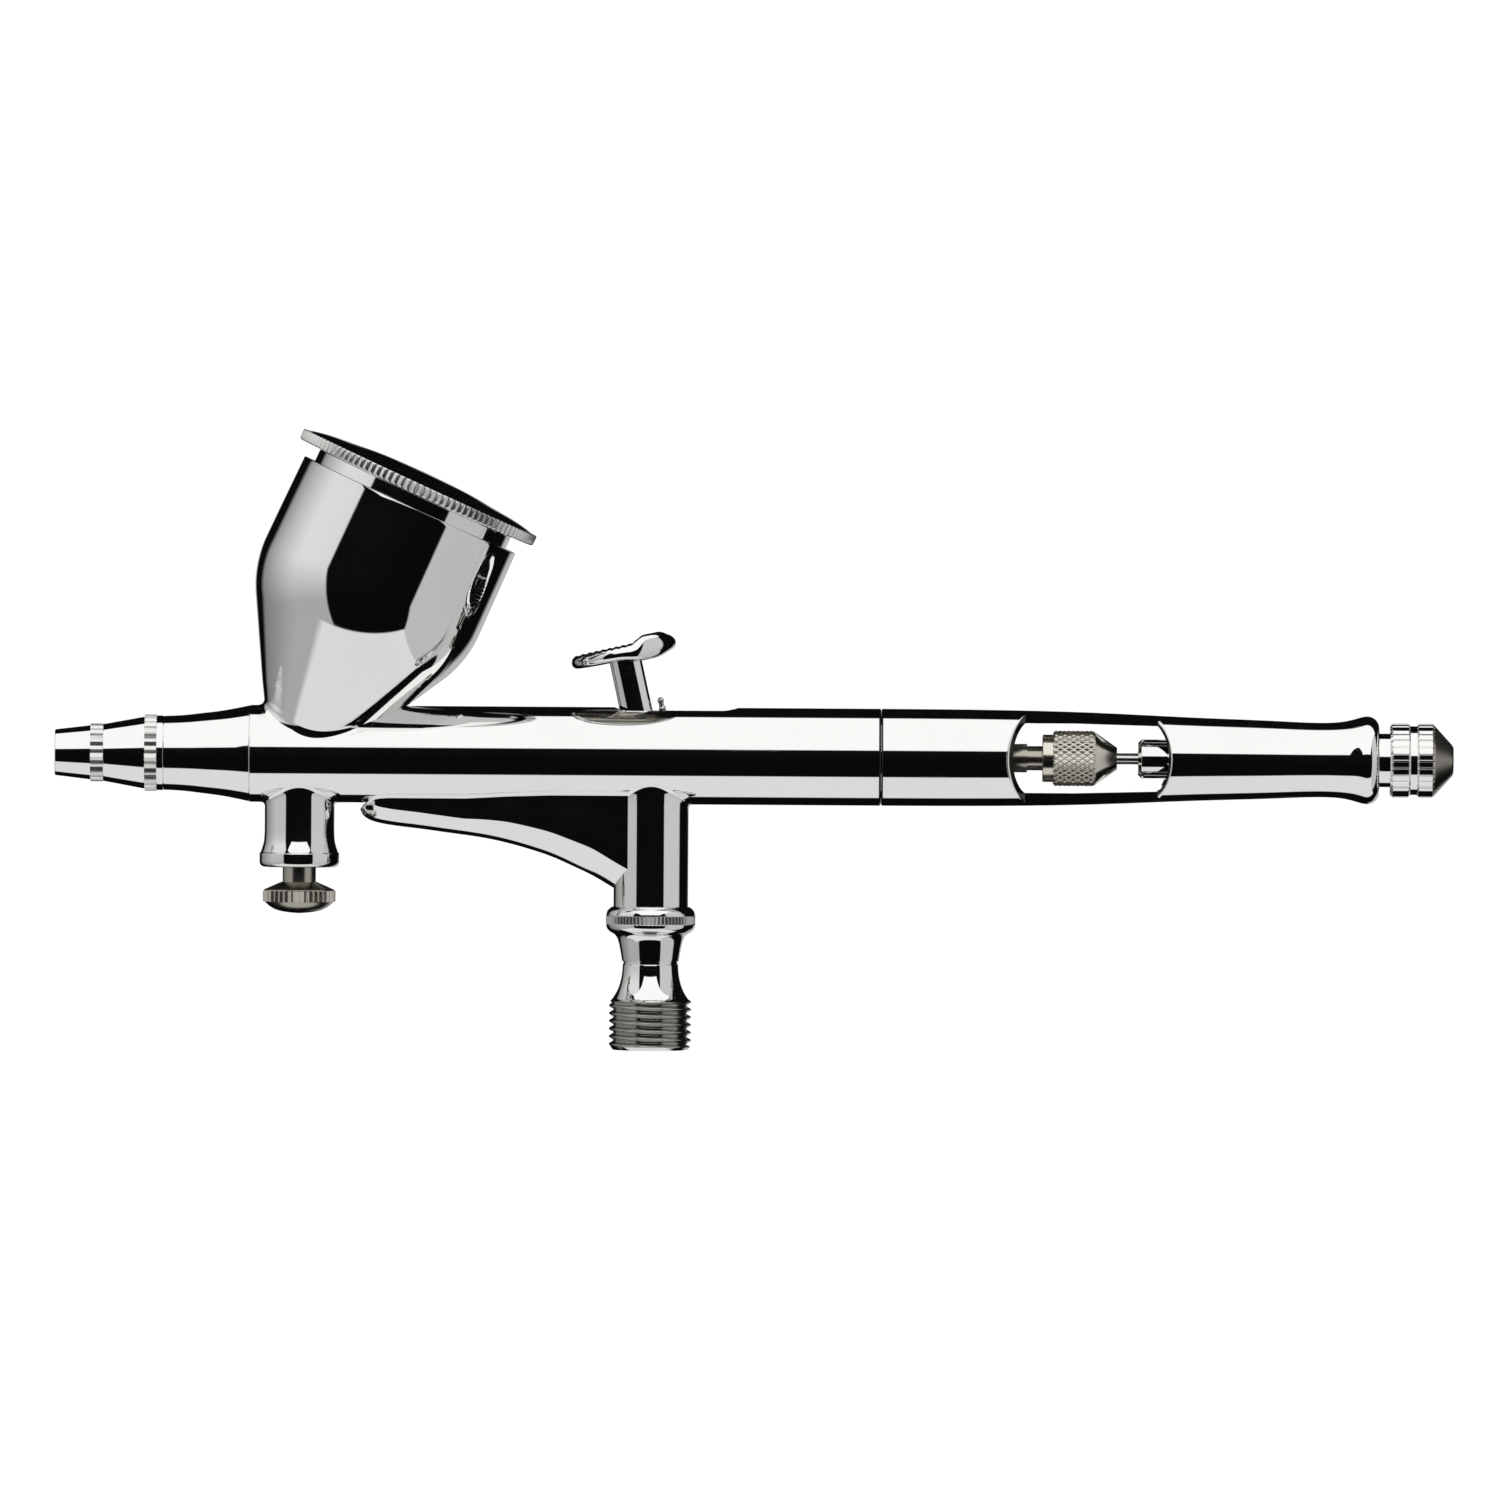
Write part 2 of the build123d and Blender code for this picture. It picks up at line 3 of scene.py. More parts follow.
import json
from math import atan2, ceil, cos, pi, radians, sin, sqrt, tan

import bmesh
import bpy
import numpy as np
from mathutils import Matrix, Vector


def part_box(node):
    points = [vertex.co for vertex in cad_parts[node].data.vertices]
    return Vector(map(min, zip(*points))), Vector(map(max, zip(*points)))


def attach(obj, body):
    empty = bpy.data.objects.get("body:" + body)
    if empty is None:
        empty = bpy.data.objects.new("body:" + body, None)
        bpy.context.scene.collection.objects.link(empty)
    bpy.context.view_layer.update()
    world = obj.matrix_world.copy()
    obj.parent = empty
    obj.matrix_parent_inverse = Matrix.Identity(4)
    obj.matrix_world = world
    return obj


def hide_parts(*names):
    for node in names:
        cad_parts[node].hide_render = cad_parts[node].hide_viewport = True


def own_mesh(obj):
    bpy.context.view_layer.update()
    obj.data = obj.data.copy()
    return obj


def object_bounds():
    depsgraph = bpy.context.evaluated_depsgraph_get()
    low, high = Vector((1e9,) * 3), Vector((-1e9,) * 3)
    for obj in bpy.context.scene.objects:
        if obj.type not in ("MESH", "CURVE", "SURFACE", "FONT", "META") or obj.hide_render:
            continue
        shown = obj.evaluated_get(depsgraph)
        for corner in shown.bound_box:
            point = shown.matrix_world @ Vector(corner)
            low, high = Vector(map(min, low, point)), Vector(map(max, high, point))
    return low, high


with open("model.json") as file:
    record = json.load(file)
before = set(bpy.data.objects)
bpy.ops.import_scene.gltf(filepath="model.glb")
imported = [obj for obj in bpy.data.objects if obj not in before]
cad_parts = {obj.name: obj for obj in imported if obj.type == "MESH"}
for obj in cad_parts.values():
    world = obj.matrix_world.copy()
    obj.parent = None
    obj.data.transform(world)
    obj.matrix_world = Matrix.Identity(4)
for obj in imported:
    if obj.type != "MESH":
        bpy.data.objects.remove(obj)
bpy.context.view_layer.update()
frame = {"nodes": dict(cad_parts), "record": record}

MM = 0.001

# Dimensions in millimetres and degrees that several pieces share, about the barrel's axis.
BARREL_R = 5.72
HEAD_JOINT_X = -47.4
CUP_FOOT_X = -42.1
CUP_LEAN = 24.5
AIR_SCREW_X = -41.5
VALVE_BORE_R = 3.65
LEVER_PIVOT_Z = -3.0
LEVER_LEAN = -12.5


# ---- outlines: lists of (a, r) in millimetres, a along the axis and r from it ----
def rounded(corners, step=9.0):
    """A closed outline from (a, r) or (a, r, rounding) corners, with arcs and support points."""
    count = len(corners)
    flat = [np.array(c[:2], float) for c in corners]
    path = []
    for i, corner in enumerate(corners):
        here, before, after = flat[i], flat[i - 1], flat[(i + 1) % count]
        size = corner[2] if len(corner) > 2 else 0.0
        back, ahead = before - here, after - here
        reach_back, reach_ahead = np.hypot(*back), np.hypot(*ahead)
        if reach_back < 1e-9 or reach_ahead < 1e-9:
            path.append(here)
            continue
        back, ahead = back / reach_back, ahead / reach_ahead
        turn = pi - np.arccos(np.clip(back @ ahead, -1, 1))
        if size <= 0 or turn < radians(2):
            path.append(here)
            continue
        leg = min(size * tan(turn / 2), 0.45 * reach_back, 0.45 * reach_ahead)
        real = leg / tan(turn / 2)
        inward = (back + ahead) / np.hypot(*(back + ahead))
        centre = here + inward * real / cos(turn / 2)
        first, last = here + back * leg, here + ahead * leg
        spare = min(0.03, 0.2 * reach_back)
        if reach_back > 3 * leg:
            path.append(first + back * spare)
        pieces = max(2, ceil(turn / radians(step)))
        start = atan2(*(first - centre)[::-1])
        end = atan2(*(last - centre)[::-1])
        sweep = (end - start + pi) % (2 * pi) - pi
        for k in range(pieces + 1):
            angle = start + sweep * k / pieces
            path.append(centre + real * np.array([cos(angle), sin(angle)]))
        spare = min(0.03, 0.2 * reach_ahead)
        if reach_ahead > 3 * leg:
            path.append(last + ahead * spare)
    return [tuple(p) for p in path]


def curve(points, count=24):
    """A smooth line through (a, r) points: a natural cubic spline over the chord length."""
    p = np.array(points, float)
    t = np.concatenate([[0], np.cumsum(np.hypot(*np.diff(p, axis=0).T))])
    n = len(t)
    system, right = np.zeros((n, n)), np.zeros((n, 2))
    system[0, 0] = system[-1, -1] = 1
    h = np.diff(t)
    for i in range(1, n - 1):
        system[i, i - 1], system[i, i], system[i, i + 1] = h[i - 1], 2 * (h[i - 1] + h[i]), h[i]
        right[i] = 3 * ((p[i + 1] - p[i]) / h[i] - (p[i] - p[i - 1]) / h[i - 1])
    c = np.linalg.solve(system, right)
    out = []
    for s in np.linspace(0, t[-1], count + 1):
        i = min(np.searchsorted(t, s, side="right") - 1, n - 2)
        u = s - t[i]
        b = (p[i + 1] - p[i]) / h[i] - h[i] * (2 * c[i] + c[i + 1]) / 3
        d = (c[i + 1] - c[i]) / (3 * h[i])
        out.append(tuple(p[i] + b * u + c[i] * u * u + d * u ** 3))
    return out


def ease(f):
    """From 0 to 1 with soft ends."""
    f = min(1.0, max(0.0, f))
    return f * f * (3 - 2 * f)


def dense(start, end, step):
    """Points on a straight stretch, close enough for a pattern cut in it."""
    count = max(1, ceil(sqrt((end[0] - start[0]) ** 2 + (end[1] - start[1]) ** 2) / step))
    return [(start[0] + (end[0] - start[0]) * k / count, start[1] + (end[1] - start[1]) * k / count)
            for k in range(count + 1)]


# ---- meshes ----
def new_object(name, data):
    """An object at the origin, in the scene."""
    thing = bpy.data.objects.new(name, data)
    bpy.context.scene.collection.objects.link(thing)
    return thing


def to_object(name, vertices, faces, angle=30.0):
    """A mesh object in metres from vertices in millimetres, smooth except at sharp edges."""
    mesh = bpy.data.meshes.new(name)
    mesh.from_pydata([tuple(v) for v in np.asarray(vertices, float) * MM], [], faces)
    mesh.update()
    tidy = bmesh.new()
    tidy.from_mesh(mesh)
    bmesh.ops.remove_doubles(tidy, verts=tidy.verts, dist=1e-8)
    bmesh.ops.recalc_face_normals(tidy, faces=tidy.faces)
    tidy.to_mesh(mesh)
    tidy.free()
    mesh.shade_smooth()
    mesh.set_sharp_from_angle(angle=radians(angle))
    return new_object(name, mesh)


def ring_faces(rows, segments, closed):
    """Quads between rings of vertices; a ring that is one vertex makes triangles."""
    faces = []
    pairs = list(zip(rows, rows[1:] + rows[:1])) if closed else list(zip(rows, rows[1:]))
    for low, high in pairs:
        if len(low) == 1 and len(high) == 1:
            continue
        for k in range(segments):
            n = (k + 1) % segments
            if len(low) == 1:
                faces.append((low[0], high[n], high[k]))
            elif len(high) == 1:
                faces.append((low[k], low[n], high[0]))
            else:
                faces.append((low[k], low[n], high[n], high[k]))
    return faces


def lathe(name, outline, axis="X", segments=192, shape=None, angle=30.0, zones=()):
    """A turned solid. shape(a, r, theta) may change the radius, for knurls and threads.
    Each zone (low, high, floor, number) gives its faces, further out than floor, that material."""
    theta = np.arange(segments) * 2 * pi / segments
    vertices, rows = [], []
    for a, r in outline:
        if r < 1e-6:
            rows.append([len(vertices)])
            vertices.append((a, 0, 0) if axis == "X" else (0, 0, a))
            continue
        radius = np.full(segments, float(r))
        if shape is not None:
            radius = shape(a, radius, theta)
        rows.append(list(range(len(vertices), len(vertices) + segments)))
        if axis == "X":
            vertices += [(a, q * cos(t), q * sin(t)) for q, t in zip(radius, theta)]
        else:
            vertices += [(q * cos(t), q * sin(t), a) for q, t in zip(radius, theta)]
    thing = to_object(name, vertices, ring_faces(rows, segments, True), angle)
    if zones:
        for face in thing.data.polygons:
            places = [thing.data.vertices[v].co / MM for v in face.vertices]
            along = [p.x if axis == "X" else p.z for p in places]
            reach = [np.hypot(p.y, p.z) if axis == "X" else np.hypot(p.x, p.y) for p in places]
            for low, high, floor, number in zones:
                if min(along) >= low and max(along) <= high and min(reach) > floor:
                    face.material_index = number
    return thing


def moved(thing, matrix):
    """Moves a mesh's vertices, leaving its object at the origin."""
    thing.data.transform(matrix)
    thing.data.update()
    return thing


def joined(name, *things):
    """One object from several closed shells."""
    merged = bmesh.new()
    for thing in things:
        merged.from_mesh(thing.data)
    mesh = bpy.data.meshes.new(name)
    merged.to_mesh(mesh)
    merged.free()
    for thing in things:
        bpy.data.objects.remove(thing)
    return new_object(name, mesh)


def cut(thing, *cutters):
    """Takes the cutters away from a solid, for good."""
    for cutter in cutters:
        step = thing.modifiers.new("cut", "BOOLEAN")
        step.object = cutter
        step.operation = "DIFFERENCE"
        step.solver = "EXACT"
    bpy.context.view_layer.update()
    result = thing.evaluated_get(bpy.context.evaluated_depsgraph_get())
    mesh = bpy.data.meshes.new_from_object(result)
    thing.modifiers.clear()
    thing.data = mesh
    for cutter in cutters:
        bpy.data.objects.remove(cutter)
    return thing


def renormal(thing, rule, angle=30.0):
    """Gives the surfaces the rule knows their exact normals, so that mirrors stay clean after a cut.
    rule(points in millimetres, face_normals) returns a normal for each corner, zero where it knows none."""
    mesh = thing.data
    mesh.shade_smooth()
    mesh.set_sharp_from_angle(angle=radians(angle))
    loops = len(mesh.loops)
    index = np.zeros(loops, int)
    mesh.loops.foreach_get("vertex_index", index)
    place = np.zeros(len(mesh.vertices) * 3)
    mesh.vertices.foreach_get("co", place)
    place = place.reshape(-1, 3)[index] / MM
    corner = np.zeros(loops * 3)
    mesh.corner_normals.foreach_get("vector", corner)
    corner = corner.reshape(-1, 3)
    normal = np.zeros((loops, 3))
    for face in mesh.polygons:
        normal[face.loop_start:face.loop_start + face.loop_total] = face.normal
    known = rule(place, normal)
    length = np.linalg.norm(known, axis=1)
    good = length > 0.5
    corner[good] = known[good] / length[good, None]
    mesh.normals_split_custom_set([tuple(n) for n in corner])
    return thing


def zigzag(turn, teeth):
    """A wave from 0 to 1 and back, once for each tooth round the axis."""
    return np.abs(((turn * teeth / (2 * pi)) % 1.0) * 2 - 1)


def pattern(outer, floor, low, high, depth_at):
    """Cuts depth_at(a, theta) into a turned surface, between low and high on its axis and outside floor."""
    def shape(a, r, theta):
        if a < low or a > high:
            return r
        return np.where(r > floor, np.minimum(r, outer - depth_at(a, theta)), r)
    return shape


def straight_grip(teeth, depth, outer, floor, low, high, sharp=0.8):
    """Straight grooves round a turned surface."""
    return pattern(outer, floor, low, high, lambda a, theta: depth * zigzag(theta, teeth) ** sharp)


def narrow_grooves(teeth, depth, outer, floor, low, high, share=0.34):
    """Narrow grooves between broad lands, round a turned surface."""
    def depth_at(a, theta):
        return depth * np.clip((zigzag(theta, teeth) - 1 + share) / share, 0, 1)
    return pattern(outer, floor, low, high, depth_at)


def diamond_grip(starts, slope, depth, outer, floor, low, high):
    """Two sets of crossed helical grooves."""
    def depth_at(a, theta):
        twist = a * tan(radians(slope)) / outer
        return depth * np.maximum(zigzag(theta + twist, starts), zigzag(theta - twist, starts))
    return pattern(outer, floor, low, high, depth_at)


def chained(*shapes):
    """Several patterns on one turned surface, one after the other."""
    def shape(a, r, theta):
        for one in shapes:
            r = one(a, r, theta)
        return r
    return shape


def helical_thread(pitch, depth, outer, floor, low, high):
    """A screw thread with rounded crests and roots, fading in and out at its ends."""
    fade_length = 0.5

    def depth_at(a, theta):
        phase = (a / pitch + theta / (2 * pi)) % 1.0
        wave = 0.5 - 0.5 * np.cos(2 * pi * phase)
        fade = min(1.0, (high - a) / fade_length, (a - low) / fade_length)
        return depth * fade * wave
    return pattern(outer, floor, low, high, depth_at)


# ---- where the pieces go: every piece is drawn about the barrel's axis, or in its node's own box ----
barrel_low, barrel_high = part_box("barrel")
axis_height = (barrel_low.z + barrel_high.z) / 2


def placed(thing, node, drawn_low, body, slot_name, *materials):
    """Puts a piece in its place, gives it its materials and lets it stand for its node on its body.
    Along each axis, drawn_low (mm) goes to the low side of the node's box; None keeps the barrel's axis."""
    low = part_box(node)[0]
    start = (0.0, 0.0, axis_height)
    shift = [l - d * MM if d is not None else s for l, d, s in zip(low, drawn_low, start)]
    moved(thing, Matrix.Translation(shift))
    numbers = [face.material_index for face in thing.data.polygons]
    thing.data.materials.clear()
    for material in materials:
        thing.data.materials.append(material)
    if len(materials) > 1:
        thing.data.polygons.foreach_set("material_index", numbers)
    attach(thing, body)
    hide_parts(node)
    return thing


# ---- materials ----
class Nodes:
    """A short way to write a node tree."""

    def __init__(self, tree):
        self.tree = tree
        tree.nodes.clear()

    def add(self, kind, inputs=None, **settings):
        node = self.tree.nodes.new(kind)
        for key, value in settings.items():
            setattr(node, key, value)
        for key, value in (inputs or {}).items():
            if isinstance(value, bpy.types.NodeSocket):
                self.tree.links.new(value, node.inputs[key])
            else:
                node.inputs[key].default_value = value
        return node

    def math(self, operation, *values):
        return self.add("ShaderNodeMath", dict(enumerate(values)), operation=operation).outputs[0]

    def product(self, first, *others):
        for other in others:
            first = self.math("MULTIPLY", first, other)
        return first

    def degrees(self, angle):
        return self.math("MULTIPLY", angle, 57.29578)

    def ramp(self, factor, low, high, to_low=0.0, to_high=1.0, kind="LINEAR"):
        ends = {"Value": factor, "From Min": low, "From Max": high, "To Min": to_low, "To Max": to_high}
        return self.add("ShaderNodeMapRange", ends, interpolation_type=kind).outputs[0]

    def soft_step(self, factor, low, high, to_low=0.0, to_high=1.0):
        return self.ramp(factor, low, high, to_low, to_high, "SMOOTHSTEP")

    def mixed(self, factor, one, other):
        """A colour between two; inputs 6 and 7 are the mix node's colours, and output 2 its result."""
        colours = {0: factor, 6: (*one, 1), 7: (*other, 1)}
        return self.add("ShaderNodeMix", colours, data_type="RGBA").outputs[2]

    def finish(self, kind, shader):
        self.add(kind, {0: shader.outputs[0]})


def metal(name, colour, rough, smudge, scratch, tint=None, bump=0.0, grain=3600.0):
    """A metal with smudges in its roughness, faint hairlines and a slight change of colour."""
    material = bpy.data.materials.new(name)
    material.use_nodes = True
    n = Nodes(material.node_tree)
    place = n.add("ShaderNodeTexCoord").outputs["Object"]
    clouds = n.add("ShaderNodeTexNoise", {"Vector": place, "Scale": 60.0, "Detail": 4.0, "Roughness": 0.6})
    wipes = n.add("ShaderNodeTexNoise", {"Vector": place, "Scale": 240.0, "Detail": 3.0, "Distortion": 1.5})
    stretched = n.add("ShaderNodeMapping", {"Vector": place, "Scale": (40.0, 2600.0, 2600.0)})
    hair = n.add("ShaderNodeTexNoise", {"Vector": stretched.outputs[0], "Scale": 1.0, "Detail": 2.0})
    mark = n.ramp(hair.outputs["Fac"], 0.68, 0.78)
    soft = n.ramp(clouds.outputs["Fac"], 0.42, 0.68)
    fine = n.ramp(wipes.outputs["Fac"], 0.50, 0.72)
    spread = n.math("MULTIPLY", soft, fine)
    level = n.math("MULTIPLY_ADD", spread, smudge, rough)
    level = n.math("MULTIPLY_ADD", mark, scratch, level)
    tint = tint or tuple(c * 0.97 for c in colour)
    mix = n.mixed(soft, colour, tint)
    grit = n.add("ShaderNodeTexNoise", {"Vector": place, "Scale": grain, "Detail": 2.0})
    relief = n.add("ShaderNodeBump", {"Height": grit.outputs["Fac"], "Strength": bump, "Distance": 0.00002})
    shader = n.add("ShaderNodeBsdfPrincipled", {
        "Base Color": mix, "Metallic": 1.0, "Roughness": level})
    if bump > 0:
        n.tree.links.new(relief.outputs[0], shader.inputs["Normal"])
    n.finish("ShaderNodeOutputMaterial", shader)
    return material


def plain(name, colour, rough, scale, bump):
    """A non-metal with mottled colour, uneven roughness and a fine relief."""
    material = bpy.data.materials.new(name)
    material.use_nodes = True
    n = Nodes(material.node_tree)
    place = n.add("ShaderNodeTexCoord").outputs["Object"]
    clouds = n.add("ShaderNodeTexNoise", {"Vector": place, "Scale": scale, "Detail": 5.0})
    mix = n.mixed(clouds.outputs["Fac"], [c * 0.85 for c in colour], [min(1.0, c * 1.12) for c in colour])
    level = n.ramp(clouds.outputs["Fac"], 0.3, 0.7, rough - 0.08, rough + 0.08)
    grit = n.add("ShaderNodeTexNoise", {"Vector": place, "Scale": scale * 12, "Detail": 3.0})
    relief = n.add("ShaderNodeBump", {"Height": grit.outputs["Fac"], "Strength": bump, "Distance": 0.00003})
    shader = n.add("ShaderNodeBsdfPrincipled", {
        "Base Color": mix, "Roughness": level, "Normal": relief.outputs[0]})
    n.finish("ShaderNodeOutputMaterial", shader)
    return material


chrome = metal("chrome", (0.90, 0.90, 0.895), 0.035, 0.05, 0.05)
nickel = metal("nickel", (0.78, 0.75, 0.68), 0.16, 0.10, 0.08, tint=(0.70, 0.67, 0.60), bump=0.15)
steel = metal("steel", (0.74, 0.74, 0.73), 0.14, 0.08, 0.10, bump=0.1)
chrome_grip = metal("chrome_grip", (0.84, 0.84, 0.83), 0.30, 0.08, 0.08, bump=0.2)
nickel_grip = metal("nickel_grip", (0.78, 0.75, 0.68), 0.24, 0.10, 0.08, tint=(0.66, 0.63, 0.56), bump=0.3)
dark_nickel = metal("dark_nickel", (0.50, 0.48, 0.43), 0.22, 0.10, 0.08, tint=(0.42, 0.40, 0.35), bump=0.2)
# A near-black metal for painted shade: the crease between barrel and handle and the handle window's leaning ends.
painted_shade = metal("painted_shade", (0.06, 0.06, 0.058), 0.22, 0.08, 0.05)
# Darker metals than the chrome, for the air valve's knurl band and its thread.
darker_grip = metal("darker_grip", (0.60, 0.60, 0.59), 0.28, 0.10, 0.08, bump=0.2)
darker_thread = metal("darker_thread", (0.55, 0.545, 0.53), 0.16, 0.12, 0.1, tint=(0.42, 0.415, 0.40), bump=0.2)
brass = metal("brass", (0.80, 0.62, 0.34), 0.20, 0.12, 0.10, tint=(0.68, 0.50, 0.26), bump=0.15)
rubber = plain("rubber", (0.022, 0.022, 0.022), 0.55, 400.0, 0.4)
ptfe = plain("ptfe", (0.85, 0.85, 0.83), 0.45, 300.0, 0.2)
by_slot = {"chrome": chrome, "nickel": nickel, "steel": steel, "brass": brass, "rubber": rubber, "ptfe": ptfe}

for part in frame["record"]["subparts"]:
    holder = frame["nodes"][part["node"]]
    holder.data.materials.clear()
    dark = part["node"] == "chucking_guide"
    holder.data.materials.append(dark_nickel if dark else by_slot[part["material_slot"]])


def cup_place():
    """Where the cup's leaning axis meets the barrel's."""
    return Matrix.Translation((CUP_FOOT_X * MM, 0, 0)) @ Matrix.Rotation(radians(CUP_LEAN), 4, "Y")


# ---- nose ----
def build_needle_cap():
    corners = [(-70.4, 2.0, .05), (-70.4, 2.7, .12), (-66.2, 3.2), (-66.2, 3.45, .07), (-64.7, 3.45, .07)]
    corners += [(-64.7, 2.45), (-67.2, 2.45), (-67.2, 2.0)]
    grip = straight_grip(24, 0.17, 3.45, 3.21, -66.21, -64.69)
    thing = lathe("needle_cap_mesh", rounded(corners), "X", 288, grip, zones=[(-66.21, -64.69, 3.22, 1)])
    placed(thing, "needle_cap", (-70.4, None, None), "airbrush_body", "chrome", chrome, chrome_grip)


def build_nozzle_cap():
    corners = [(-67.1, 0.9), (-67.1, 2.4, .1), (-64.7, 2.4), (-64.7, 3.35, .06), (-60.0, 4.22), (-59.8, 4.22)]
    corners += [(-59.8, 4.5, .07), (-58.4, 4.5, .07), (-58.4, 3.5), (-61.6, 3.5), (-61.6, 2.9), (-66.4, 0.9)]
    grip = straight_grip(30, 0.19, 4.5, 4.23, -59.81, -58.39)
    thing = lathe("nozzle_cap_mesh", rounded(corners), "X", 360, grip, zones=[(-59.81, -58.39, 4.24, 1)])
    placed(thing, "nozzle_cap", (-67.1, None, None), "airbrush_body", "chrome", chrome, chrome_grip)


def build_head():
    flare = curve([(-57.5, 4.36), (-55.2, 4.48), (-53.1, 4.72), (-51.0, 4.98), (-48.9, 5.36), (-47.48, 5.66)], 30)
    corners = [(-61.4, 1.25), (-61.4, 3.45, .1), (-58.4, 3.45), (-58.4, 4.4, .07), (-57.62, 4.4, .05), (-57.58, 4.3)]
    path = rounded(corners + flare + [(HEAD_JOINT_X, 5.6), (HEAD_JOINT_X, 3.95), (-44.8, 3.95), (-44.8, 1.25)])
    thing = lathe("head_mesh", path, "X", 192)
    placed(thing, "head", (-61.4, None, None), "airbrush_body", "chrome", chrome)


# ---- barrel ----
def stadium(x0, x1, half, z0, z1, steps=24):
    """A slot cutter: a long bar with round ends, standing up."""
    outline = []
    for k in range(steps + 1):
        turn = -pi / 2 + pi * k / steps
        outline.append((x1 - half + half * cos(turn), half * sin(turn)))
    for k in range(steps + 1):
        turn = pi / 2 + pi * k / steps
        outline.append((x0 + half + half * cos(turn), half * sin(turn)))
    count = len(outline)
    vertices = [(x, y, z0) for x, y in outline] + [(x, y, z1) for x, y in outline]
    faces = [tuple(range(count))[::-1], tuple(range(count, 2 * count))]
    faces += [(k, (k + 1) % count, (k + 1) % count + count, k + count) for k in range(count)]
    return to_object("cutter", vertices, faces)


def bar(axis, start, end, r, segments=64):
    """A round cutter."""
    return lathe("cutter", [(start, 0), (start, r), (end, r), (end, 0)], axis, segments)


def radial_rule(radius):
    """Exact normals for a cylinder about the X axis."""
    def rule(place, normal):
        out = np.zeros_like(place)
        reach = np.hypot(place[:, 1], place[:, 2])
        outward = np.stack([0 * reach, place[:, 1], place[:, 2]], 1) / np.maximum(reach, 1e-9)[:, None]
        facing = (normal * outward).sum(1)
        hit = (np.abs(reach - radius) < 0.004) & (facing > 0.995)
        out[hit] = outward[hit]
        return out
    return rule


def build_barrel():
    """The barrel, with the lever's slot, the cup's feed hole and the valve's hole; its rear edge gets painted shade.
    """
    corners = [(HEAD_JOINT_X, 4.0), (HEAD_JOINT_X, BARREL_R, .06), (27.07, BARREL_R, .24), (27.07, 4.75)]
    corners += [(31.0, 4.75, .2), (31.0, 4.2)]
    corners += [(14.0, 4.2), (14.0, 3.6), (-6.0, 3.6), (-6.0, 2.05), (-25.9, 2.05), (-25.9, 1.3)]
    corners += [(-44.6, 1.3), (-44.6, 4.0)]
    thing = lathe("barrel_mesh", rounded(corners), "X", 256)
    feed = moved(bar("Z", 0, 10, 1.6, 48), cup_place())
    thing = cut(thing, stadium(-4.5, 10.2, 2.1, 0.0, 8.0), feed, bar("Z", -7, 0, 2.25, 64))
    renormal(thing, radial_rule(BARREL_R))
    # Painted shade on the barrel's rear edge, in the crease against the handle.
    paint_shade_ring(thing, 26.8, 27.3, 4.6, BARREL_R + 0.01)
    placed(thing, "barrel", (HEAD_JOINT_X, None, None), "airbrush_body", "chrome", chrome, painted_shade)


# ---- pieces that stand on the barrel, with a small fillet at the foot ----
def at_radius(point, radius):
    """The point, moved to a distance from the X axis."""
    out = point.copy()
    out[1:] *= radius / np.hypot(point[1], point[2])
    return out


def spout(name, outline, inner, foot_x, lean, segments, fillet, way=1.0):
    """A turned piece whose outer wall ends on the barrel in a small fillet.
    outline runs from the free end to the foot as (a, r); inner is the rest of the section, back to the start.
    way is 1 for a piece above the barrel and -1 for one below it."""
    turn = Matrix.Translation((foot_x, 0, 0)) @ Matrix.Rotation(radians(lean), 4, "Y")
    theta = np.arange(segments) * 2 * pi / segments
    foot_a, foot_r = outline[-1]
    last_a, last_r = outline[-2]
    slope = np.array([foot_a - last_a, foot_r - last_r])
    slope /= np.hypot(*slope)
    levels, arcs = 10, 8

    def to_world(a, r, t):
        return np.array(turn @ Vector((r * cos(t), r * sin(t), a)))

    def down_wall(s, t):
        """The point at distance s from the wall's last corner towards the foot."""
        return to_world(last_a + slope[0] * s, last_r + slope[1] * s, t)

    def meeting(t):
        """How far down the wall's line, from its last corner, the barrel's surface is."""
        high, step = 30.0, 0.025
        for s in np.linspace(0, 560 * step, 561):
            p = to_world(last_a + slope[0] * s, max(last_r + slope[1] * s, 0.01), t)
            if np.hypot(p[1], p[2]) < BARREL_R and p[2] * way > -0.5:
                high = s
                break
        low = max(0.0, high - step)
        for _ in range(30):
            mid = (low + high) / 2
            p = down_wall(mid, t)
            if np.hypot(p[1], p[2]) < BARREL_R:
                high = mid
            else:
                low = mid
        return high

    length = [meeting(t) for t in theta]
    tops = [max(0.02, l - fillet) for l in length]
    hits = [down_wall(l, t) for l, t in zip(length, theta)]
    rows = [[to_world(a, r, t) for t in theta] for a, r in outline[:-1]]
    rows += [[down_wall(s * (k / levels), t) for s, t in zip(tops, theta)] for k in range(1, levels + 1)]
    centre = np.mean(hits, axis=0)
    ends = []
    for i, hit in enumerate(hits):
        before, after = hits[i - 1], hits[(i + 1) % segments]
        along = after - before
        along /= np.linalg.norm(along)
        up = np.array([0, hit[1], hit[2]])
        up /= np.linalg.norm(up)
        out = np.cross(along, up)
        out /= np.linalg.norm(out)
        if out @ (hit - centre) < 0:
            out = -out
        ends.append(at_radius(hit + out * fillet, BARREL_R + 0.004))
    for k in range(1, arcs + 1):
        f = k / arcs
        rows.append([(1 - f) ** 2 * down_wall(s, t) + 2 * f * (1 - f) * hit + f * f * end
                     for s, t, hit, end in zip(tops, theta, hits, ends)])
    rows.append([at_radius(end, BARREL_R - 0.35) for end in ends])
    rows += [[to_world(a, r, t) for t in theta] for a, r in inner]
    vertices, numbers = [], []
    for ring in rows:
        numbers.append(list(range(len(vertices), len(vertices) + len(ring))))
        vertices += [tuple(p) for p in ring]
    return to_object(name, vertices, ring_faces(numbers, segments, True))


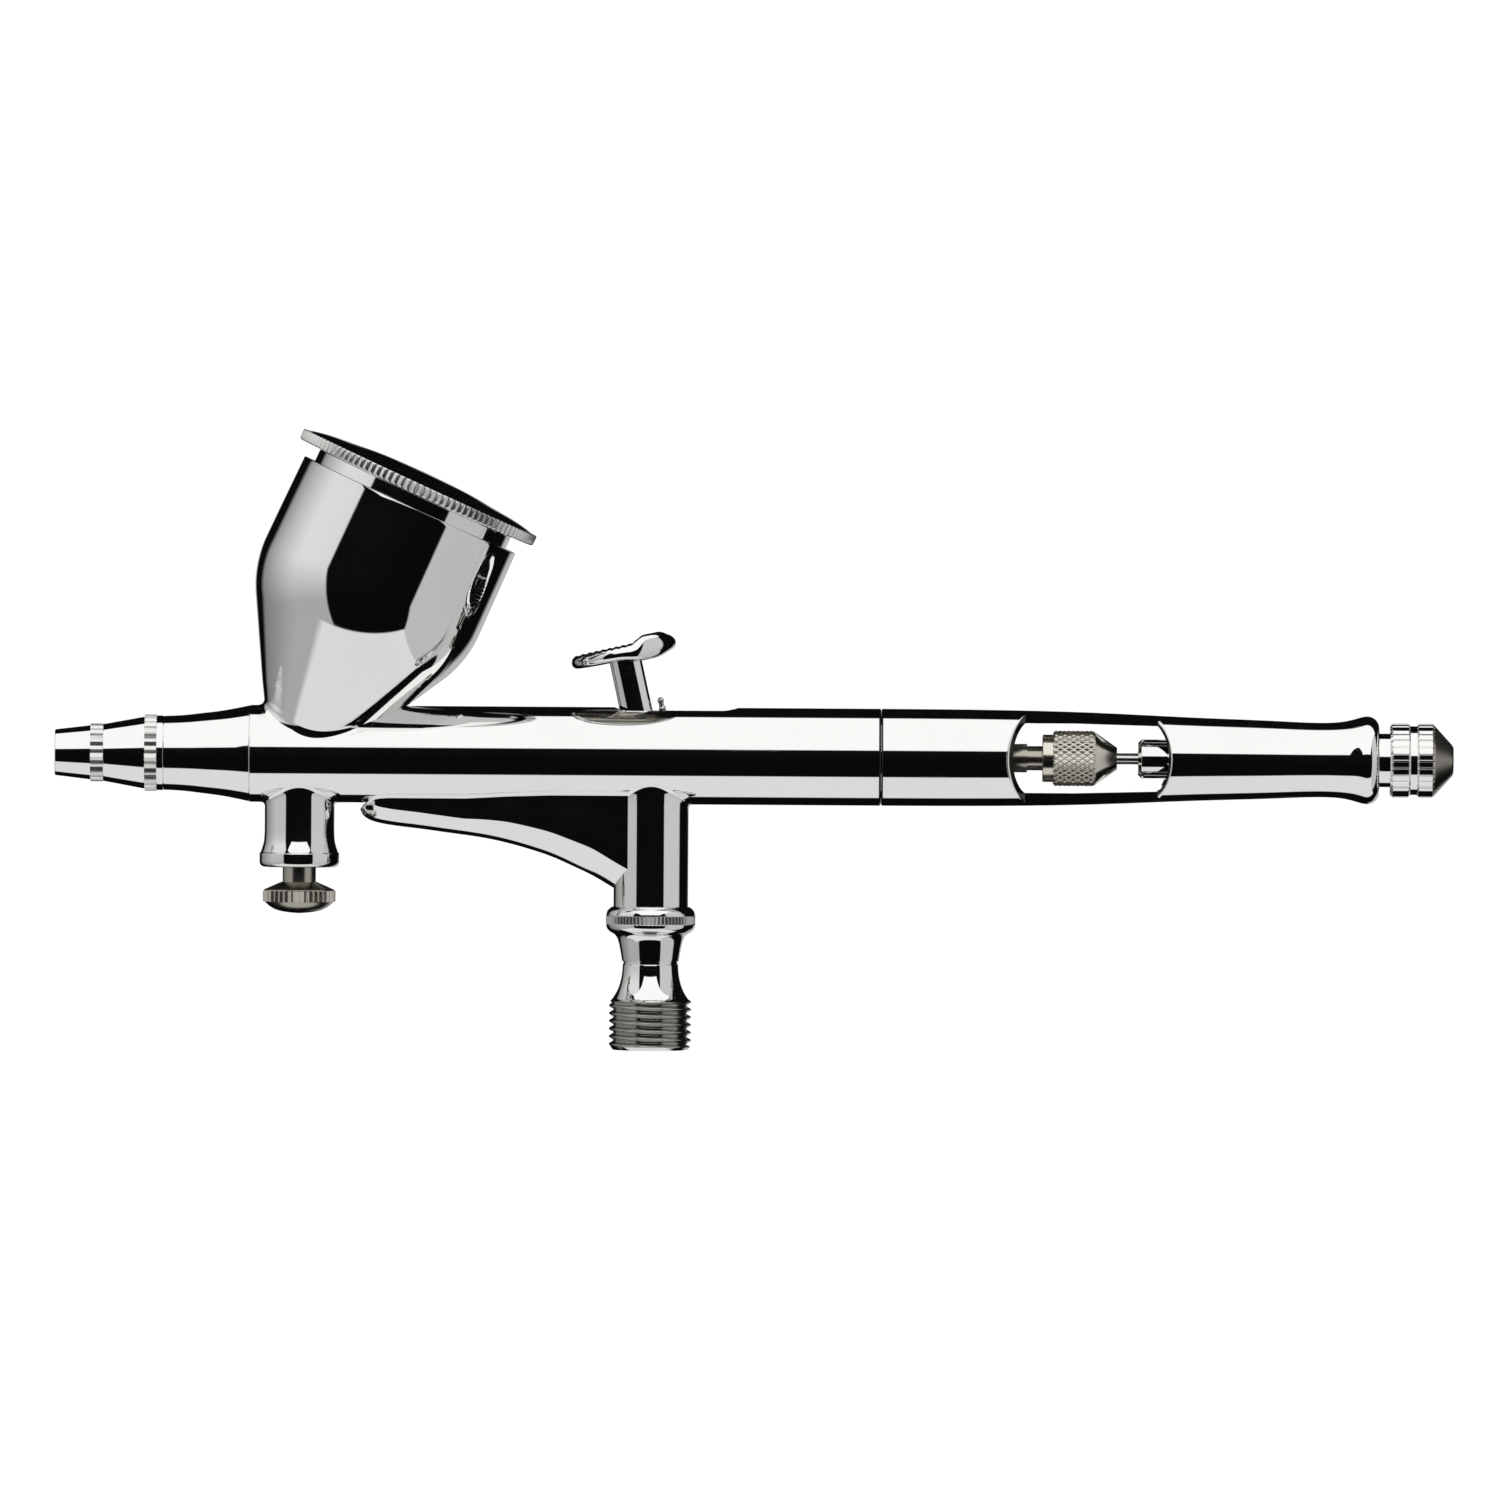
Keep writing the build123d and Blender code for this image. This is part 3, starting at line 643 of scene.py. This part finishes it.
def paint_shade_ring(thing, low, high, floor, ceiling):
    """Gives the second material, painted shade in both uses, to the faces of a narrow ring about the X axis."""
    for face in thing.data.polygons:
        x, y, z = face.center / MM
        if low <= x <= high and floor < np.hypot(y, z) < ceiling:
            face.material_index = 1


def build_paint_cup():
    """The cup's side has one long bend, from upright to its cone."""
    bend, bend_top, widest, cone, steps = 13.0, 21.59, 13.85, 29.2, 40
    wall = [(32.28, 13.70), (32.2, 13.705), (32.0, 13.709), (31.5, 13.718), (28.0, 13.78), (24.8, 13.818)]
    wall += [(21.7, widest)]
    for k in range(steps + 1):
        turn = radians(cone * k / steps)
        wall.append((bend_top - bend * sin(turn), widest - bend * (1 - cos(turn))))
    wall += [(13.5, 11.22), (6.2, 7.14)]
    lip = rounded([(33.9, 11.6, .1), (33.9, 12.4, .1), (32.42, 12.4), (32.42, 13.0)])[:-1]
    edge = [(32.40, 13.5), (32.37, 13.62), (32.32, 13.68)]
    outline = lip + [(32.41, 13.0)] + edge + wall[1:] + [(5.0, 6.42)]
    inside = [(5.0, 3.0), (5.0, 1.6), (7.0, 1.6)]
    inside += curve([(7.0, 1.6), (8.4, 4.2), (12.5, 8.6), (17.5, 11.9), (23.0, 13.0)], 30)[1:]
    inside += [(27.2, 13.0), (28.6, 11.6)]
    thing = spout("paint_cup_mesh", outline, inside, CUP_FOOT_X, CUP_LEAN, 192, 0.9)
    placed(thing, "paint_cup", (None, None, None), "airbrush_body", "chrome", chrome)


def build_cup_lid():
    corners = [(34.75, 0), (34.75, 10.9), (29.8, 10.9), (29.8, 11.4, .08), (30.0, 11.55), (34.0, 11.55)]
    corners += [(34.0, 14.95, .05), (34.2, 15.15), (35.15, 15.15), (35.3, 15.0, .06), (35.34, 14.75)]
    crown = [(35.36, 14.5), (35.6, 13.4), (35.84, 12.0), (36.14, 9.0), (36.42, 6.0), (36.55, 3.0), (36.6, 0.0)]
    path = rounded(corners) + curve(crown, 40)
    path = [p for p in path if p[1] > 1e-6 or p[0] in (34.75, path[-1][0])]
    grip = straight_grip(120, 0.2, 15.15, 14.6, 34.01, 35.29)
    thing = lathe("cup_lid_mesh", path, "Z", 960, grip, zones=[(34.01, 35.29, 14.9, 1)])
    moved(thing, cup_place())
    placed(thing, "cup_lid", (None, None, None), "lid", "chrome", chrome, chrome_grip)


def build_mac_boss():
    wall = curve([(-11.5, 4.55), (-10.6, 4.27), (-9.6, 4.15), (-8.6, 4.13)], 16)
    outline = rounded([(-13.35, 2.6), (-13.35, 4.72, .62), (-11.74, 4.72, .3), (-11.62, 4.58)], 6.0)
    outline += wall + [(-6.0, 4.13)]
    inside = [(-6.0, 2.0), (-6.0, 1.18), (-7.0, 1.18), (-7.0, 2.6)]
    thing = spout("mac_boss_mesh", outline, inside, AIR_SCREW_X, 0, 160, 0.5, way=-1.0)
    placed(thing, "mac_boss", (None, None, -13.35), "airbrush_body", "chrome", chrome)


def build_mac_screw():
    corners = [(-5.6, 0), (-5.6, 0.3), (-6.6, 1.1), (-7.9, 1.1), (-7.9, 2.5), (-8.2, 2.5), (-8.2, 1.9), (-9.1, 1.9)]
    corners += [(-9.1, 2.5), (-12.0, 2.5), (-12.3, 1.97), (-15.1, 1.97), (-15.1, 2.1, .1), (-16.0, 4.15, .2)]
    corners += [(-16.12, 4.15), (-16.12, 4.3, .1), (-17.4, 4.3, .12), (-17.42, 4.1)]
    path = rounded(corners) + curve([(-17.46, 4.05), (-18.1, 3.3), (-18.6, 1.9), (-18.8, 0.0)], 20)
    grip = straight_grip(40, 0.2, 4.3, 4.16, -17.41, -16.11)
    thing = lathe("mac_screw_mesh", path, "Z", 400, grip, zones=[(-17.42, -16.11, 4.0, 1)])
    moved(thing, Matrix.Translation((AIR_SCREW_X * MM, 0, 0)))
    placed(thing, "mac_screw", (None, None, -18.8), "air_control", "nickel", dark_nickel, nickel_grip)


def build_air_post():
    outline = rounded([(-17.8, VALVE_BORE_R), (-17.8, 4.42, .06), (-17.0, 4.42)])[:-1]
    outline += [(-16.9, 4.42), (-6.0, 4.42)]
    inside = [(-6.0, 3.0), (-6.0, 2.25), (-11.9, 2.25), (-11.9, VALVE_BORE_R)]
    post = spout("post", outline, inside, 0, 0, 192, 0.5, way=-1.0)
    web = cut(build_web(), bar("Z", -18.0, 0.0, VALVE_BORE_R, 96))
    thing = joined("air_post_mesh", post, web)
    placed(thing, "air_post", (None, None, -17.8), "airbrush_body", "chrome", chrome)


def build_web():
    """The finger rest: a deep rib with a round underside, filleted to the barrel."""
    line = curve([(-34.32, -6.1), (-34.2, -6.9), (-33.5, -7.6), (-32.1, -8.1), (-28.0, -8.68), (-23.8, -9.23),
                  (-20.2, -9.72), (-16.8, -10.42), (-14.0, -11.2), (-11.45, -12.07), (-9.2, -13.07), (-7.1, -14.05),
                  (-4.1, -15.8), (-1.5, -17.2)], 110)
    return to_object("web", *web_mesh(sorted(line)))


def underside(x):
    """The half section of the rib's underside, as (across, down) from its side wall, and its half width.
    Its curve is tight at the side, wide between two angles and then medium down to the middle."""
    begin, end, steps = radians(24), radians(53), 36
    band = float(np.interp(x, (-22.0, -17.0, -12.0, -7.0), (1.45, 2.1, 2.5, 3.0)))
    side_bend = 0.3
    wide_bend = band / (sin(end) - sin(begin))
    under_bend = float(np.interp(x, (-22.0, -12.0, -7.0), (2.8, 2.4, 1.75)))
    full = 0.312 * wide_bend + 0.602 * under_bend + 0.0865 * side_bend
    curl = [(0.0, 0.0)]
    for k in range(steps):
        angle = pi / 2 * (k + 0.5) / steps
        bend = side_bend if angle < begin else wide_bend if angle < end else under_bend
        bend *= pi / 2 / steps
        curl.append((curl[-1][0] + bend * sin(angle), curl[-1][1] + bend * cos(angle)))
    return curl, full


def web_mesh(line, tip=-34.35, tip_z=-6.8, half=2.8, foot=0.5):
    """The rib's rings, from its round front end at the tip to the middle of the valve's post.
    line is the underside in the side view; half is the half width of the tip and foot the fillet's size."""
    stations = [tip + half * (1 - cos(pi / 2 * k / 14)) for k in range(1, 15)]
    stations += list(np.linspace(tip + half, -0.8, 70))[1:]
    xs, zs = np.array(line).T
    rows, vertices = [], []
    for x in stations:
        bottom = float(np.interp(x, xs, zs))
        curl, full = underside(x)
        wide = full if x > tip + half else sqrt(max(0.0, half ** 2 - (tip + half - x) ** 2))
        wide = max(wide, 0.05)
        nose = min(1.0, max(0.0, (x - tip) / 1.65)) ** 0.5
        reach = wide + foot
        top = tip_z - nose * (tip_z + sqrt(BARREL_R ** 2 - wide ** 2))
        hook = tip_z - nose * (tip_z + sqrt(BARREL_R ** 2 - reach ** 2))
        middle = min(tip_z - nose * (tip_z + BARREL_R), top)
        round_z = min(curl[-1][1], max(0.05, top - bottom - 0.15))
        drop = min(foot, 0.5 * max(top - bottom - round_z, 0.1))
        a, b, c = np.array([reach, hook]), np.array([wide, top]), np.array([wide, top - drop])
        side = []
        for k in range(8):
            f = k / 8
            side.append((1 - f) ** 2 * a + 2 * f * (1 - f) * b + f * f * c)
        wall_end = np.array([wide, bottom + round_z])
        for k in range(5):
            side.append(c + (wall_end - c) * k / 5)
        for across, down in curl:
            side.append(np.array([wide * (1 - across / curl[-1][0]), bottom + round_z * (1 - down / curl[-1][1])]))
        sunk = 0.4 * nose
        section = [(-y, z) for y, z in side] + [(y, z) for y, z in side[::-1][1:]]
        section += [(reach, hook + sunk), (0.0, middle + sunk), (-reach, hook + sunk)]
        rows.append(list(range(len(vertices), len(vertices) + len(section))))
        vertices += [(x, y, z) for y, z in section]
    faces = ring_faces(rows, len(rows[0]), False)
    faces.append(tuple(rows[0]))
    faces.append(tuple(rows[-1][::-1]))
    return vertices, faces


# ---- trigger ----
def build_main_lever():
    """Drawn upright about its pivot, then leaned: an oval stem, a dished and ridged pad, and a forked shank."""
    stem = lathe("stem", [(7.6, 0), (7.6, 1.9), (15.0, 1.9), (15.0, 0)], "Z", 160)
    moved(stem, Matrix.Diagonal((1.0, 0.7, 1.0, 1.0)))
    corners = curve([(14.7, 0.0), (14.72, 4.6), (14.78, 5.5)], 12)
    rim = curve([(14.78, 5.5), (14.95, 6.05), (15.45, 6.3), (15.95, 6.18), (16.25, 5.85)], 20)
    crown = curve([(16.25, 5.85), (16.3, 5.55), (16.2, 5.2), (15.9, 3.0), (15.8, 0.0)], 60)
    outline = corners + rim[1:] + crown[1:]
    pad = lathe("pad", outline, "Z", 320, zones=[(14.6, 14.79, -1.0, 1)])
    mesh = pad.data
    for v in mesh.vertices:
        x, y, z = v.co / MM
        r = sqrt(x * x + y * y)
        high = min(1.0, max(0.0, (z - 14.8) / 1.4))
        lip = ease((x - 0.8) / 2.0) * (1 - ease((x - 4.4) / 1.9))
        belly = ease((x + 1.0) / 3.5) * (1 - ease((x - 3.6) / 2.7))
        rise = 0.75 * lip * high - 0.5 * belly * (1 - high)
        if z > 15.75:
            fade = min(1.0, max(0.0, (6.1 - r) / 0.5)) * (1 - ease((x - 1.0) / 1.5))
            rise += 0.14 * (abs(((x / 0.8) % 1.0) * 2 - 1) - 0.5) * fade
        v.co.z += rise * MM
    blocks = bmesh.new()
    for x0, x1, half, z0, z1 in ((-1.1, 1.1, 1.5, 0.3, 2.7), (-1.3, 1.9, 1.9, 2.6, 7.8)):
        made = bmesh.ops.create_cube(blocks, size=1.0)
        for v in made["verts"]:
            v.co = ((x0 + x1) / 2 + v.co.x * (x1 - x0), v.co.y * 2 * half, (z0 + z1) / 2 + v.co.z * (z1 - z0))
    bmesh.ops.scale(blocks, vec=(MM, MM, MM), verts=blocks.verts)
    shank_mesh = bpy.data.meshes.new("shank")
    blocks.to_mesh(shank_mesh)
    blocks.free()
    shank = cut(new_object("shank", shank_mesh), stadium(-3, 3, 0.8, 1.8, 6.4))
    ball = lathe("ball", [(-1.7, 0), (-1.7, 1.1), (1.7, 1.1), (1.7, 0)], "Z", 64)
    moved(ball, Matrix.Rotation(radians(90), 4, "X"))
    thing = joined("main_lever_mesh", stem, pad, shank, ball)
    thing.data.shade_smooth()
    thing.data.set_sharp_from_angle(angle=radians(30))
    moved(thing, Matrix.Translation((0, 0, LEVER_PIVOT_Z * MM)) @ Matrix.Rotation(radians(LEVER_LEAN), 4, "Y"))
    placed(thing, "main_lever", (None, None, None), "trigger", "chrome", chrome, dark_nickel)


# ---- air valve ----
def build_valve_body():
    top = rounded([(-12.9, 2.6), (-12.9, 3.6, .1), (-16.5, 3.6), (-16.5, 3.0), (-17.3, 3.0), (-17.3, 3.6),
                   (-17.8, 3.6), (-17.8, 4.45)])
    top += curve([(-17.84, 4.6), (-18.15, 5.0), (-18.6, 5.24), (-18.85, 5.27)], 14)
    top += dense((-18.9, 5.27), (-19.85, 5.27), 0.1) + curve([(-19.9, 5.27), (-20.3, 5.18), (-20.75, 4.8)], 10)
    top += curve([(-20.8, 4.74), (-21.05, 4.3), (-21.5, 3.95), (-22.2, 3.72), (-23.2, 3.52), (-24.2, 3.36)], 30)
    top += [(-24.26, 3.2), (-24.56, 3.2), (-24.6, 3.27)]
    flare = curve([(-24.62, 3.28), (-25.4, 3.33), (-26.8, 3.58), (-28.0, 4.05), (-28.7, 4.5)], 26)
    thread = [(-28.75, 4.55), (-28.95, 4.864)] + dense((-29.0, 4.864), (-34.2, 4.864), 0.035)[1:]
    end = rounded([(-34.2, 4.864), (-34.35, 4.75), (-34.7, 4.38, .05), (-34.7, 2.6, .1), (-27.2, 2.6), (-27.2, 2.4)])
    rest = [(-16.5, 2.4), (-16.5, 1.1), (-15.5, 1.1), (-15.5, 2.6)]
    grip = straight_grip(72, 0.13, 5.27, 5.2, -19.86, -18.89)
    screw = helical_thread(0.907, 0.52, 4.864, 3.9, -34.6, -28.8)
    thing = lathe("valve_body_mesh", top + flare + thread + end[1:] + rest, "Z", 432, chained(grip, screw), 50.0,
                  zones=[(-19.86, -18.89, 5.0, 1), (-34.4, -28.8, 3.9, 2)])
    placed(thing, "valve_body", (None, None, -34.7), "airbrush_body", "chrome", chrome, darker_grip, darker_thread)


# ---- handle ----
HANDLE = curve([(27.3, BARREL_R), (38.7, 5.68), (52.9, 5.39), (64.7, 4.89), (73.9, 4.56), (79.0, 4.39), (81.0, 4.47),
                (82.4, 4.70), (83.3, 4.95), (83.9, 5.11), (84.4, 5.17), (85.0, 5.05), (85.5, 4.7), (85.75, 4.3)], 220)


def build_handle():
    """The handle, open on both sides; the window's leaning ends and the front edge get painted shade."""
    outline = [(27.1, 4.8), (27.1, 5.5), (27.12, 5.59), (27.17, 5.66), (27.24, 5.705)] + HANDLE
    outline += [(85.8, 4.2), (85.8, 3.25), (85.75, 3.2), (70.0, 3.2), (61.1, 4.5), (50.0, 4.75), (31.2, 4.75)]
    outline += [(31.2, 4.8)]
    thing = lathe("handle_mesh", outline, "X", 256)
    window = (42.05, 5.63), (61.3, 5.05)
    thing = cut(thing, window_cutter(*window, -1), window_cutter(*window, 1))
    slope_x = np.array([p[0] for p in HANDLE])
    slope_r = np.array([p[1] for p in HANDLE])
    grad = np.gradient(slope_r, slope_x)

    def rule(place, normal):
        out = np.zeros_like(place)
        reach = np.hypot(place[:, 1], place[:, 2])
        want = np.interp(place[:, 0], slope_x, slope_r)
        lean = np.interp(place[:, 0], slope_x, grad)
        outward = np.stack([-lean, place[:, 1] / reach, place[:, 2] / reach], 1)
        outward /= np.linalg.norm(outward, axis=1)[:, None]
        facing = (normal * outward).sum(1)
        hit = (np.abs(reach - want) < 0.02) & (facing > 0.9) & (place[:, 0] > 27.35) & (place[:, 0] < 85.6)
        out[hit] = outward[hit]
        return out

    renormal(thing, rule)
    # Painted shade on the handle's front edge, in the crease against the barrel.
    paint_shade_ring(thing, 27.0, 27.32, 4.7, BARREL_R + 0.01)
    # Painted shade: the window's leaning ends get the near-black material.
    for face in thing.data.polygons:
        if 41.5 < face.center.x / MM < 62 and 0.75 < abs(face.normal.x) < 0.95:
            face.material_index = 1
    placed(thing, "handle", (27.1, None, None), "airbrush_body", "chrome", chrome, painted_shade)


def window_cutter(front, rear, side, floor=2.3, draft=0.6, lip=0.2, around=48):
    """One side's window cutter: a flat floor and leaning ends, rounded where they meet the outside.
    front and rear give an end's place on the axis and the handle's radius there."""
    depths = [0.0] + [lip * (1 - cos(pi / 2 * k / 6)) for k in range(1, 7)] + [0.6, 1.2, 2.0]
    walls = []
    for (place, outside), way in ((front, 1), (rear, -1)):
        wall = []
        for depth in [-0.6] + depths + [outside - floor - 0.001]:
            r = outside - depth
            rounding = lip - sqrt(lip ** 2 - max(0.0, lip - max(depth, 0.0)) ** 2) - min(depth, 0.0)
            widest = np.arccos(min(1.0, floor / r))
            for t in np.linspace(-widest, widest, around + 1):
                inset = draft * (outside - r * cos(t)) - rounding
                wall.append((place + way * inset, r * cos(t) * side, r * sin(t)))
        walls.append(wall)
    row, size = around + 1, len(walls[0])
    count = size // row
    faces = []
    for k in range(count - 1):
        for j in range(around):
            a, b, c, d = k * row + j, k * row + j + 1, (k + 1) * row + j + 1, (k + 1) * row + j
            faces += [(a, b, c, d), (size + a, size + d, size + c, size + b)]
        for j in (0, around):
            a, b = k * row + j, (k + 1) * row + j
            faces.append((a, b, size + b, size + a))
    for k in (0, count - 1):
        for j in range(around):
            a, b = k * row + j, k * row + j + 1
            faces.append((a, b, size + b, size + a))
    return to_object("cutter", walls[0] + walls[1], faces)


def build_chuck_nut():
    front = rounded([(46.1, 1.48), (46.1, 2.79, .12), (47.35, 2.79), (47.35, 3.05, .05), (47.6, 3.3)])
    grip_zone = dense((47.6, 3.3), (52.15, 3.3), 0.06)[1:]
    rear = rounded([(52.15, 3.3), (52.4, 3.05, .05), (54.9, 1.3, .1), (54.9, 0.7), (51.2, 0.7), (51.2, 1.48)])[1:]
    grip = diamond_grip(32, 32, 0.2, 3.3, 2.85, 47.36, 52.41)
    thing = lathe("chuck_nut_mesh", front + grip_zone + rear, "X", 456, grip, 50.0, zones=[(47.3, 52.42, 2.9, 1)])
    placed(thing, "chuck_nut", (46.1, None, None), "clamp_nut", "nickel", nickel, nickel_grip)


def build_stop_screw():
    corners = [(57.4, 0.9), (57.4, 1.9, .05), (57.8, 2.29, .08), (74.0, 2.29), (74.3, 3.15), (75.55, 3.15)]
    corners += [(75.55, 2.55), (76.45, 2.55), (76.45, 3.15), (87.1, 3.15), (87.1, 4.0, .05), (87.45, 4.35, .08)]
    corners += [(89.3, 4.35, .08), (89.5, 4.05), (90.3, 4.05), (90.5, 4.35, .08), (92.1, 4.35, .08), (92.4, 4.1, .15)]
    corners += [(94.45, 1.85, .2), (94.6, 1.6), (94.6, 0)]
    path = rounded(corners) + [(68.0, 0.0), (68.0, 0.9)]
    grip = narrow_grooves(32, 0.26, 4.35, 4.06, 87.1, 92.3)
    thing = lathe("stop_screw_mesh", path, "X", 512, grip, zones=[(92.05, 94.5, 1.8, 1)])
    placed(thing, "stop_screw", (57.4, None, None), "needle_stop", "chrome", chrome, dark_nickel)


# ---- springs ----
def coil_mesh(name, start, end, turns, ring_r, wire_r, axis):
    """A coil of round wire between two places on its axis."""
    steps, sides = turns * 40, 10
    vertices, rows = [], []
    for k in range(steps + 1):
        f = k / steps
        turn = 2 * pi * turns * f
        along = start + wire_r + (end - start - 2 * wire_r) * f
        ring = []
        for s in range(sides):
            a = 2 * pi * s / sides
            r = ring_r + wire_r * cos(a)
            h = along + wire_r * sin(a)
            ring.append(len(vertices))
            point = (r * cos(turn), r * sin(turn), h)
            vertices.append(point if axis == "Z" else (point[2], point[0], point[1]))
        rows.append(ring)
    faces = [tuple(rows[0][::-1]), tuple(rows[-1])]
    for low, high in zip(rows, rows[1:]):
        faces += [(low[s], low[(s + 1) % sides], high[(s + 1) % sides], high[s]) for s in range(sides)]
    return to_object(name, vertices, faces, 60.0)


def build_springs():
    low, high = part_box("valve_spring")
    thing = coil_mesh("valve_spring_mesh", low.z / MM, high.z / MM, 5, 1.5, 0.25, "Z")
    placed(thing, "valve_spring", (None, None, low.z / MM), "airbrush_body", "steel", steel)
    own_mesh(thing)
    low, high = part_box("needle_spring")
    thing = coil_mesh("needle_spring_mesh", low.x / MM, high.x / MM, 11, 2.4, 0.25, "X")
    placed(thing, "needle_spring", (None, None, None), "airbrush_body", "steel", steel)
    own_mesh(thing)


for build in (build_needle_cap, build_nozzle_cap, build_head, build_barrel, build_paint_cup, build_cup_lid,
              build_mac_boss, build_mac_screw, build_air_post, build_main_lever, build_valve_body, build_handle,
              build_chuck_nut, build_stop_screw, build_springs):
    build()


# ---- studio ----
def build_floor():
    """A plain pale floor, below the airbrush and out of its mirrors."""
    half, drop = 6, 0.07
    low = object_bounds()[0].z - drop
    mesh = bpy.data.meshes.new("floor")
    corners = [(-half, -half, low), (half, -half, low), (half, half, low), (-half, half, low)]
    mesh.from_pydata(corners, [], [(0, 1, 2, 3)])
    floor = new_object("floor", mesh)
    material = bpy.data.materials.new("floor")
    material.use_nodes = True
    n = Nodes(material.node_tree)
    shader = n.add("ShaderNodeBsdfPrincipled", {"Base Color": (0.97, 0.97, 0.97, 1), "Roughness": 0.9})
    n.finish("ShaderNodeOutputMaterial", shader)
    mesh.materials.append(material)
    floor.visible_glossy = False


def build_world():
    """A white room for sight and soft light, and a studio of panels for mirrors.
    The panels keep their place relative to the camera, as a photographer's would."""
    world = bpy.data.worlds.new("studio")
    bpy.context.scene.world = world
    world.use_nodes = True
    n = Nodes(world.node_tree)
    direction = n.add("ShaderNodeTexCoord").outputs["Generated"]
    ahead = n.add("ShaderNodeVectorTransform", {"Vector": (0.0, 0.0, 1.0)}, vector_type="VECTOR",
                  convert_from="CAMERA", convert_to="WORLD").outputs[0]
    flat = n.add("ShaderNodeVectorMath", {0: ahead, 1: (1.0, 1.0, 0.0)}, operation="MULTIPLY").outputs[0]
    ahead = n.add("ShaderNodeVectorMath", {0: flat}, operation="NORMALIZE").outputs[0]
    side = n.add("ShaderNodeVectorMath", {0: ahead, 1: (0.0, 0.0, 1.0)}, operation="CROSS_PRODUCT").outputs[0]
    depth = n.add("ShaderNodeVectorMath", {0: direction, 1: ahead}, operation="DOT_PRODUCT").outputs["Value"]
    right = n.add("ShaderNodeVectorMath", {0: direction, 1: side}, operation="DOT_PRODUCT").outputs["Value"]
    height = n.add("ShaderNodeSeparateXYZ", {0: direction}).outputs[2]
    toward = n.math("MULTIPLY", depth, -1.0)

    # Angles of the mirrored direction, in degrees, from the line back to the camera.
    pitch = n.degrees(n.math("ARCTAN2", height, toward))
    yaw = n.degrees(n.math("ARCTAN2", right, toward))
    across = n.degrees(n.math("ARCSINE", right))
    rise = n.degrees(n.math("ARCSINE", height))
    aside = n.math("ABSOLUTE", across)

    def band(value, low, high, soft_low, soft_high):
        up = n.soft_step(value, low - soft_low, low + soft_low)
        down = n.soft_step(value, high - soft_high, high + soft_high, 1.0, 0.0)
        return n.product(up, down)

    # The panel overhead starts higher towards its ends.
    slant = n.product(n.math("MAXIMUM", n.math("SUBTRACT", aside, 24.0), 0.0), 4.0)
    overhead = n.product(n.soft_step(n.math("SUBTRACT", pitch, slant), 16, 18),
                         n.soft_step(pitch, 106, 109, 1.06, 0.0))
    under = n.product(band(pitch, -113, -47.4, 2.0, 1.2), 0.77, n.ramp(across, -58, -44),
                      n.ramp(across, 29, 32, 1.0, 0.0))
    left_tone = n.product(n.ramp(rise, -12, 22, 0.42, 0.78), n.ramp(yaw, -138, -85, 0.40, 1.0))
    left_wall = n.product(band(yaw, -138, -45.5, 5, 1.2), left_tone, n.ramp(rise, -46, -38))
    right_wall = n.product(band(yaw, 40.5, 98, 1.2, 3), n.ramp(rise, -20, 5, 0.54, 0.61))
    far_right = n.product(band(yaw, 150, 176, 6, 2), n.ramp(rise, -5, -1, 0.5, 0.0), n.ramp(rise, -34, -24))
    backdrop = n.product(n.soft_step(n.math("ABSOLUTE", pitch), 174, 179, 0.0, 0.75),
                         n.ramp(aside, 12, 20, 1.0, 0.0))
    light = overhead
    for panel in (under, left_wall, right_wall, far_right, backdrop):
        light = n.math("MAXIMUM", light, panel)
    light = n.math("ADD", light, 0.003)
    grey = n.add("ShaderNodeCombineColor", {0: light, 1: light, 2: n.product(light, 0.985)}).outputs[0]
    mirror = n.add("ShaderNodeBackground", {"Color": grey, "Strength": 1.0}).outputs[0]
    room = n.add("ShaderNodeBackground", {"Color": (1, 1, 1, 1), "Strength": 1.1}).outputs[0]
    glossy = n.add("ShaderNodeLightPath").outputs["Is Glossy Ray"]
    both = n.add("ShaderNodeMixShader", {0: glossy, 1: room, 2: mirror})
    n.finish("ShaderNodeOutputWorld", both)


def build_camera(width=0.177, away=3.0, lift=1.2, roll=0.36):
    """A long lens, almost level: width is what it sees at the barrel, and the angles are in degrees."""
    data = bpy.data.cameras.new("camera")
    camera = new_object("camera", data)
    data.type = "PERSP"
    data.sensor_width = 36
    data.lens = data.sensor_width * away / width
    data.clip_end = 50
    aim = Vector((0.0116, 0, axis_height + 0.00076))
    lift = radians(lift)
    camera.location = aim + Vector((0, -away * cos(lift), away * sin(lift)))
    facing = (aim - camera.location).to_track_quat("-Z", "Y").to_matrix().to_4x4()
    camera.matrix_world = Matrix.Translation(camera.location) @ facing @ Matrix.Rotation(radians(roll), 4, "Z")
    bpy.context.scene.camera = camera


build_floor()
build_world()
build_camera()
bpy.context.scene.view_settings.view_transform = "Standard"
bpy.context.scene.view_settings.look = "None"
